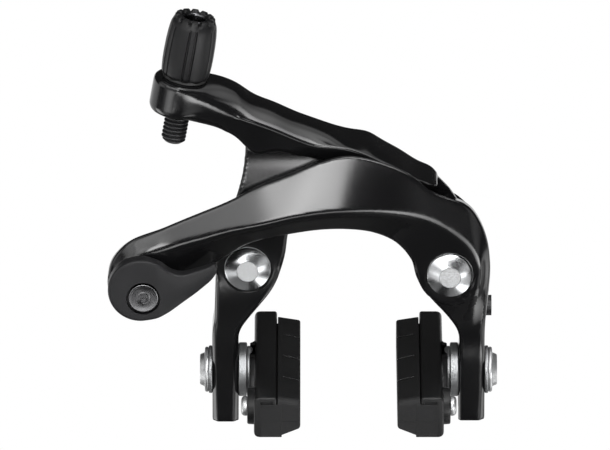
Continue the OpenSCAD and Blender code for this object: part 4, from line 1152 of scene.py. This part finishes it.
def holder_piece(side):
    """Channel that holds the pad between two lips. Its lower wall stops short of the open front end."""
    outline = box_outline((HOLDER_LIP, SHOE_Z - HALF_H), (HOLDER_BACK, SHOE_Z + HALF_H), (0.7, 1.5, 1.5, 0.7))
    shape = rounded_slab(outline, SHOE_FRONT, SHOE_REAR, 0.45, 1.6, 8)
    start = HOLDER_LIP - 1
    back = HOLDER_LIP + 3.85
    front = SHOE_FRONT - 5
    channel = shoe_slab(hollow(start, HOLDER_LIP + 1.0, back, 3.5, 4.1), front, SHOE_REAR - 2.2)
    open_end = shoe_slab([(start, -9), (back, -9), (back, 0), (start, 0)], front, SHOE_FRONT + WALL_END)
    bolt_hole = cylinder([HOLDER_LIP - 5, SHOE_Y, SHOE_Z], [HOLDER_BACK + 5, SHOE_Y, SHOE_Z], HOLE_D)
    piece = make_shoe_piece(side, "holder_channel", "shoe_holder", "shoe", "holder_paint", shape,
                            holder_paint, [channel, open_end, bolt_hole])
    boss = raised(HOLDER_BACK, (0.01, -0.3), (4.5, -0.3))
    boss += raised(SCREW_SEAT, (4.4, -0.4), (4.28, -0.1), (4.0, 0), (0.01, 0))
    fuse(piece, mirrored(back_ring(), side), mirrored(turned(boss, SCREW_PLACE, ALONG_X), side))
    shade(piece)


def pad_ring(y, drop, inset):
    """Section of the pad at one place along it, with its top lowered and its other edges drawn in."""
    back = HOLDER_LIP - 0.2
    corners = [(PAD_FACE + inset, -HALF_H + 2.2 + inset, 0), (back, -HALF_H + inset, 0),
               (back, HALF_H - drop, 0), (PAD_FACE + inset, HALF_H - 0.9 - drop, 0)]
    return [(x, y, SHOE_Z + z) for x, z, _ in round_corners(corners, (0.5, 0.25, 0.3, 0.6))]


def water_groove(middle):
    """Thin curved groove in from the pad's face."""
    depth, width = 4.2, 0.6
    line = [(PAD_FACE - 2, middle - 1.6)]
    line += [(PAD_FACE + s, middle - 1.0 * (1 - s / depth) ** 2) for s in np.linspace(0, depth, 7)]
    outline = [(x, y - width / 2) for x, y in line] + [(x, y + width / 2) for x, y in line[::-1]]
    return loft([[(x, y, SHOE_Z + z) for x, y in outline] for z in (-9, 9)])


def pad_rings(front, rear):
    """Sections of the pad, with a broad round at its front end and a small one at its rear."""
    near_round, near_inset, far_round = 1.8, 0.3, 0.4
    turns = np.linspace(0, math.pi / 2, 7)
    rings = []
    for t in turns:
        left = 1 - math.sin(t)
        rings.append(pad_ring(front + near_round * (1 - math.cos(t)), near_round * left, near_inset * left))
    for t in turns[::-1]:
        left = far_round * (1 - math.sin(t))
        rings.append(pad_ring(rear - far_round * (1 - math.cos(t)), left, left))
    return rings


def pad_piece(side):
    """Block of brake compound with three water grooves, a tongue in the channel and a broad front end."""
    front = SHOE_FRONT + 0.08
    rear = PAD_REAR - 2.4
    grooves = [water_groove(SHOE_FRONT + (PAD_REAR - SHOE_FRONT) * i / 4) for i in (1, 2, 3)]
    piece = make_shoe_piece(side, "pad_block", "pad", "shoe", "pad_rubber", loft(pad_rings(front, rear)),
                            pad_rubber, grooves)
    bevel(piece, 0.14, 2, 50)
    apply_modifiers(piece)
    deep = HOLDER_LIP + 3.75
    tongue = shoe_slab(hollow(HOLDER_LIP - 0.6, HOLDER_LIP + 1.08, deep, 3.4, 4.0), SHOE_FRONT + 0.5,
                       rear - 0.2)
    end = box_outline((HOLDER_LIP - 1.2, SHOE_Z - HALF_H + 0.1), (deep + 0.3, SHOE_Z + 3.4),
                      (0.2, 0.25, 0.3, 0.2))
    end = rounded_slab(end, front - 0.04, SHOE_FRONT + WALL_END - 0.1, 0.12, 0.1, 4)
    line = [(PAD_FACE + 0.4, -1.2), (deep - 0.3, -1.2), (deep - 0.3, -0.98), (PAD_FACE + 0.4, -0.98)]
    mould_line = shoe_slab(line, SHOE_FRONT + 0.01, SHOE_FRONT + 1)
    fuse(piece, *[mirrored(shape, side) for shape in (tongue, end, mould_line)])
    shade(piece, 14)
    end_depth = 2.5
    piece.data.materials.append(pad_end_rubber)
    piece.data.materials.append(groove_edge_highlight)
    # Index 1 is the pad's front end; index 2, light grey on the upward groove edges, is a painted highlight
    for face in piece.data.polygons:
        along = (face.center.y + piece.location.y) / MM - SHOE_FRONT
        if face.normal.y < -0.45 and along < end_depth:
            face.material_index = 1
        elif end_depth < along < 50 and face.normal.z > 0.2 and abs(face.normal.y) > 0.3:
            face.material_index = 2


def pad_screw_shape():
    profile = raised(low("right_pad_screw")[X], (0.01, 0), (1.2, 0))
    profile += raised(SCREW_SEAT, (1.2, 0), (2.25, 0), (2.4, 0.12), (2.4, 0.6), (2.3, 0.95), (2.05, 1.25),
                      (1.7, 1.42), (1.35, 1.48), (0.01, 1.48))
    socket = hex_bar(SCREW_PLACE, ALONG_X, 2, SCREW_SEAT + 0.4, SCREW_SEAT + 3)
    return turned(profile, SCREW_PLACE, ALONG_X), [socket]


for side in ("left", "right"):
    bolt, bolt_sockets = bolt_shape()
    make_shoe_piece(side, "shoe_bolt_turned", "shoe_bolt", "shoe_slider", "turned_steel", bolt, bright_steel,
                    bolt_sockets)
    outer_washer = washer_shape("right_outer_washer", 3.0, 0.25)
    for name, node, body, shape in (
        ("outer_washer_round", "outer_washer", "shoe_slider", outer_washer),
        ("knurled_washer_cut", "knurled_washer", "shoe_slider", knurled_shape()),
        ("convex_washer_round", "convex_washer", "shoe", convex_shape()),
    ):
        make_shoe_piece(side, name, node, body, "washer_steel", shape, washer_steel)
    holder_piece(side)
    pad_piece(side)
    screw, screw_sockets = pad_screw_shape()
    make_shoe_piece(side, "pad_screw_turned", "pad_screw", "shoe", "turned_steel", screw, bright_steel,
                    screw_sockets, SCREW_PLACE)

# Return spring: one round wire from the lower leg through the coil to the hook in the hump

WIRE_D = 1.6
COIL_R = 7.15
COIL_PITCH = 2.15
COIL_TURNS = 2
coil_front = SHOULDER + WIRE_D / 2 + 0.4
coil_rear = coil_front + COIL_TURNS * COIL_PITCH
hook_y = BEAM_REAR + WIRE_D / 2 + 0.2
hook_x, hook_z = HOOK


def coil_point(turn):
    angle = 2 * math.pi * turn
    return (PIVOT_X + COIL_R * math.cos(angle), coil_front + COIL_PITCH * turn, COIL_R * math.sin(angle))


def spring_line():
    lower = [(PIVOT_X + 3.8, coil_front - 0.3, -14), (PIVOT_X + 4.7, coil_front - 0.3, -9),
             (PIVOT_X + 6.5, coil_front - 0.25, -4.2)]
    coil = [coil_point(i / 24) for i in range(COIL_TURNS * 24 + 1)]
    upper = [(PIVOT_X + 6.6, coil_rear + 0.2, 3.2), (PIVOT_X + 6.3, coil_rear - 0.4, 8.2),
             (PIVOT_X + 1.9, hook_y, 14.3), (hook_x + 0.5, hook_y, hook_z - 2.2),
             (hook_x, hook_y - 0.9, hook_z), (hook_x, hook_y - 2.4, hook_z)]
    return smooth_outline([*lower, *coil, *upper], 0.5, closed=False)


def swept(line, radius, sides=16):
    """Round wire along a line."""
    ways = np.gradient(line, axis=0)
    ways /= np.linalg.norm(ways, axis=1)[:, None]
    side = frame_about(ways[0])[0]
    angles = np.arange(sides) * 2 * math.pi / sides
    rings = []
    for point, way in zip(line, ways):
        side = side - way * side.dot(way)
        side /= np.linalg.norm(side)
        up = np.cross(way, side)
        rings.append(point + radius * (np.outer(np.cos(angles), side) + np.outer(np.sin(angles), up)))
    return loft(rings)


make_piece("return_spring_wire", swept(spring_line(), WIRE_D / 2), "right_arm", "return_spring",
           "spring_steel", spring_steel, 50)

# Pieces that keep their solid: rounded edges and a material

kept = {
    "booster_plate": (plate_steel, 0.35),
    "thrust_washers": (washer_steel, 0.08),
    "right_bush": (bush_polymer, 0.1),
    "left_bush": (bush_polymer, 0.1),
    "roller_pin": (bright_steel, 0.2),
    "sync_roller": (roller_polymer, 0.3),
    "cam_shaft": (bright_steel, 0.25),
    "cable_clamp_plate": (washer_steel, 0.3),
    "cable_fixing_bolt": (bright_steel, 0.3),
    "centring_screw": (black_oxide, 0.35),
}
for name, (made, width) in kept.items():
    piece = frame["nodes"][name]
    piece.data.materials.clear()
    piece.data.materials.append(made)
    bevel(piece, width)
    shade(piece)

# Stage: pale floor far below, soft lights and the camera

FLOOR_Z = -1.4
FLOOR_SIZE = 40
DIM = (0.035, 0.035, 0.035, 1)
PALE = (0.86, 0.86, 0.86, 1)
WHITE = (1, 1, 1, 1)


def eased(tree, value, start, end, least=0):
    """A smooth step from a least value up to 1 between two values of a number."""
    made = node_of(tree, "ShaderNodeMapRange", interpolation_type="SMOOTHSTEP", From_Min=start, From_Max=end,
                   To_Min=least, Value=value)
    return made.outputs["Result"]


def joined(tree, operation, first, second):
    made = node_of(tree, "ShaderNodeMath", operation=operation)
    tree.links.new(first, made.inputs[0])
    tree.links.new(second, made.inputs[1])
    return made.outputs["Value"]


def white_share(tree, in_mirrors):
    """How much of the white a ray sees: all of it from the camera, a given share in mirrors and glass."""
    rays = node_of(tree, "ShaderNodeLightPath").outputs
    bounced = joined(tree, "MAXIMUM", rays["Is Glossy Ray"], rays["Is Transmission Ray"])
    return joined(tree, "MAXIMUM", rays["Is Camera Ray"], joined(tree, "MULTIPLY", bounced, in_mirrors))


def mix_by(tree, share, first, second, output):
    mix = node_of(tree, "ShaderNodeMixShader", Fac=share)
    tree.links.new(first, mix.inputs[1])
    tree.links.new(second, mix.inputs[2])
    node_of(tree, output, Surface=mix.outputs["Shader"])


def empty_tree(owner):
    """Node tree of a material or a world, with nothing in it."""
    owner.use_nodes = True
    owner.node_tree.nodes.clear()
    return owner.node_tree


def floor_material():
    """Pale floor that shows white away from the object and keeps its shadow."""
    made = bpy.data.materials.new("pale_floor")
    tree = empty_tree(made)
    matte = node_of(tree, "ShaderNodeBsdfDiffuse", Color=PALE).outputs["BSDF"]
    glow = node_of(tree, "ShaderNodeEmission", Color=WHITE, Strength=1.0).outputs["Emission"]
    place = node_of(tree, "ShaderNodeTexCoord").outputs["Object"]
    reach = node_of(tree, "ShaderNodeVectorMath", operation="LENGTH", Vector=place).outputs["Value"]
    apart = node_of(tree, "ShaderNodeSeparateXYZ", Vector=place).outputs
    away = eased(tree, reach, 0.9, 2.4, 0.6)
    behind = eased(tree, apart["Y"], 0.2, 2.0)
    share = joined(tree, "MULTIPLY", white_share(tree, behind), away)
    mix_by(tree, share, matte, glow, "ShaderNodeOutputMaterial")
    return made


def build_world():
    """Dim light all round, before a white that mirrors show where it lies low behind the object."""
    world = bpy.data.worlds.new("studio")
    tree = empty_tree(world)
    dim = node_of(tree, "ShaderNodeBackground", Color=DIM).outputs["Background"]
    white = node_of(tree, "ShaderNodeBackground", Color=WHITE).outputs["Background"]
    way = node_of(tree, "ShaderNodeTexCoord").outputs["Generated"]
    apart = node_of(tree, "ShaderNodeSeparateXYZ", Vector=way).outputs
    behind = eased(tree, apart["Y"], 0.2, 0.8)
    lower = eased(tree, apart["Z"], 0.0, -0.04)
    share = white_share(tree, joined(tree, "MULTIPLY", behind, lower))
    mix_by(tree, share, dim, white, "ShaderNodeOutputWorld")
    bpy.context.scene.world = world


def build_floor():
    half = FLOOR_SIZE / 2 / MM
    corners = [(-half, -half, 0), (half, -half, 0), (half, half, 0), (-half, half, 0)]
    floor = new_piece("floor", (corners, [[0, 1, 2, 3]]))
    floor.location = (0, 0, FLOOR_Z)
    floor.data.materials.append(floor_material())


TARGET = Vector((-0.01058, -0.0164, 0.01181))
ELEVATION = 21.5
CAMERA_DISTANCE = 3.0
FRAME_WIDTH = 0.1474
SENSOR_WIDTH = 36
LAMP_SPREAD = 60


def way_to(turn, tilt):
    """Direction from the object, turned to the right of the front and tilted up, in degrees."""
    turn = math.radians(turn)
    tilt = math.radians(tilt)
    return Vector((math.sin(turn) * math.cos(tilt), -math.cos(turn) * math.cos(tilt), math.sin(tilt)))


def set_up(name, data, way, distance):
    """Object at a distance from the target, aimed at it."""
    thing = bpy.data.objects.new(name, data)
    thing.location = TARGET + way * distance
    thing.rotation_euler = (TARGET - thing.location).to_track_quat("-Z", "Y").to_euler()
    bpy.context.scene.collection.objects.link(thing)
    return thing


def build_camera():
    data = bpy.data.cameras.new("camera")
    data.sensor_width = SENSOR_WIDTH
    data.lens = SENSOR_WIDTH * CAMERA_DISTANCE / FRAME_WIDTH
    data.clip_end = 100
    bpy.context.scene.camera = set_up("camera", data, way_to(0, ELEVATION), CAMERA_DISTANCE)


def soft_box(name, left, right, lower, upper, distance, radiance):
    """Rectangular light that fills a range of directions about the object, with a brightness of its face."""
    data = bpy.data.lights.new(name, "AREA")
    data.shape = "RECTANGLE"
    data.size = 2 * distance * math.tan(math.radians(right - left) / 2)
    data.size_y = 2 * distance * math.tan(math.radians(upper - lower) / 2)
    data.spread = math.radians(LAMP_SPREAD)
    half = data.spread / 2
    data.energy = radiance * math.pi * data.size * data.size_y * (1 - half / math.tan(half))
    light = set_up(name, data, way_to((left + right) / 2, (lower + upper) / 2), distance)
    light.visible_camera = False


# Name, left and right, lower and upper edge in degrees, distance in metres and brightness
lamps = [
    ("key_box", -13, 7, 12, 29, 1.2, 15),
    ("key_wing", -42, -14, 14, 42, 1.25, 4.5),
    ("side_wing", -66, -43, 12, 42, 1.3, 2.8),
    ("front_top", -8, 50, 43, 58, 1.3, 12),
    ("front_over", -30, 60, 58, 78, 1.4, 3.5),
    ("right_over", 52, 112, 48, 76, 1.4, 2.3),
    ("rear_over", 114, 180, 62, 84, 1.4, 2),
    ("rear_top", 114, 180, 40, 62, 1.4, 1.1),
    ("left_panel", -74, -20, -24, 8, 1.4, 1.3),
    ("left_low", -74, -46, -40, -23, 1.4, 1.3),
    ("left_side", -104, -70, -4, 22, 1.4, 1.4),
    ("left_strip", -104, -78, -44, -14, 1.3, 5),
    ("upper_left", -112, -48, 24, 64, 1.4, 1.4),
    ("front_strip", 9, 60, -21, -7, 1.3, 12),
    ("front_line", -24, 9, -16, -8, 1.25, 6.5),
    ("left_line", -62, -24, -16, -8, 1.25, 2.5),
    ("right_low", 20, 70, -45, -20, 1.3, 1.4),
    ("right_under", 48, 95, -66, -47, 1.3, 4),
    ("right_high", 42, 78, -4, 18, 1.3, 0.8),
    ("right_strip", 80, 100, -40, -12, 1.3, 3),
]

build_floor()
build_world()
build_camera()
for lamp in lamps:
    soft_box(*lamp)
bpy.context.scene.view_settings.view_transform = "Standard"

bpy.context.view_layer.update()
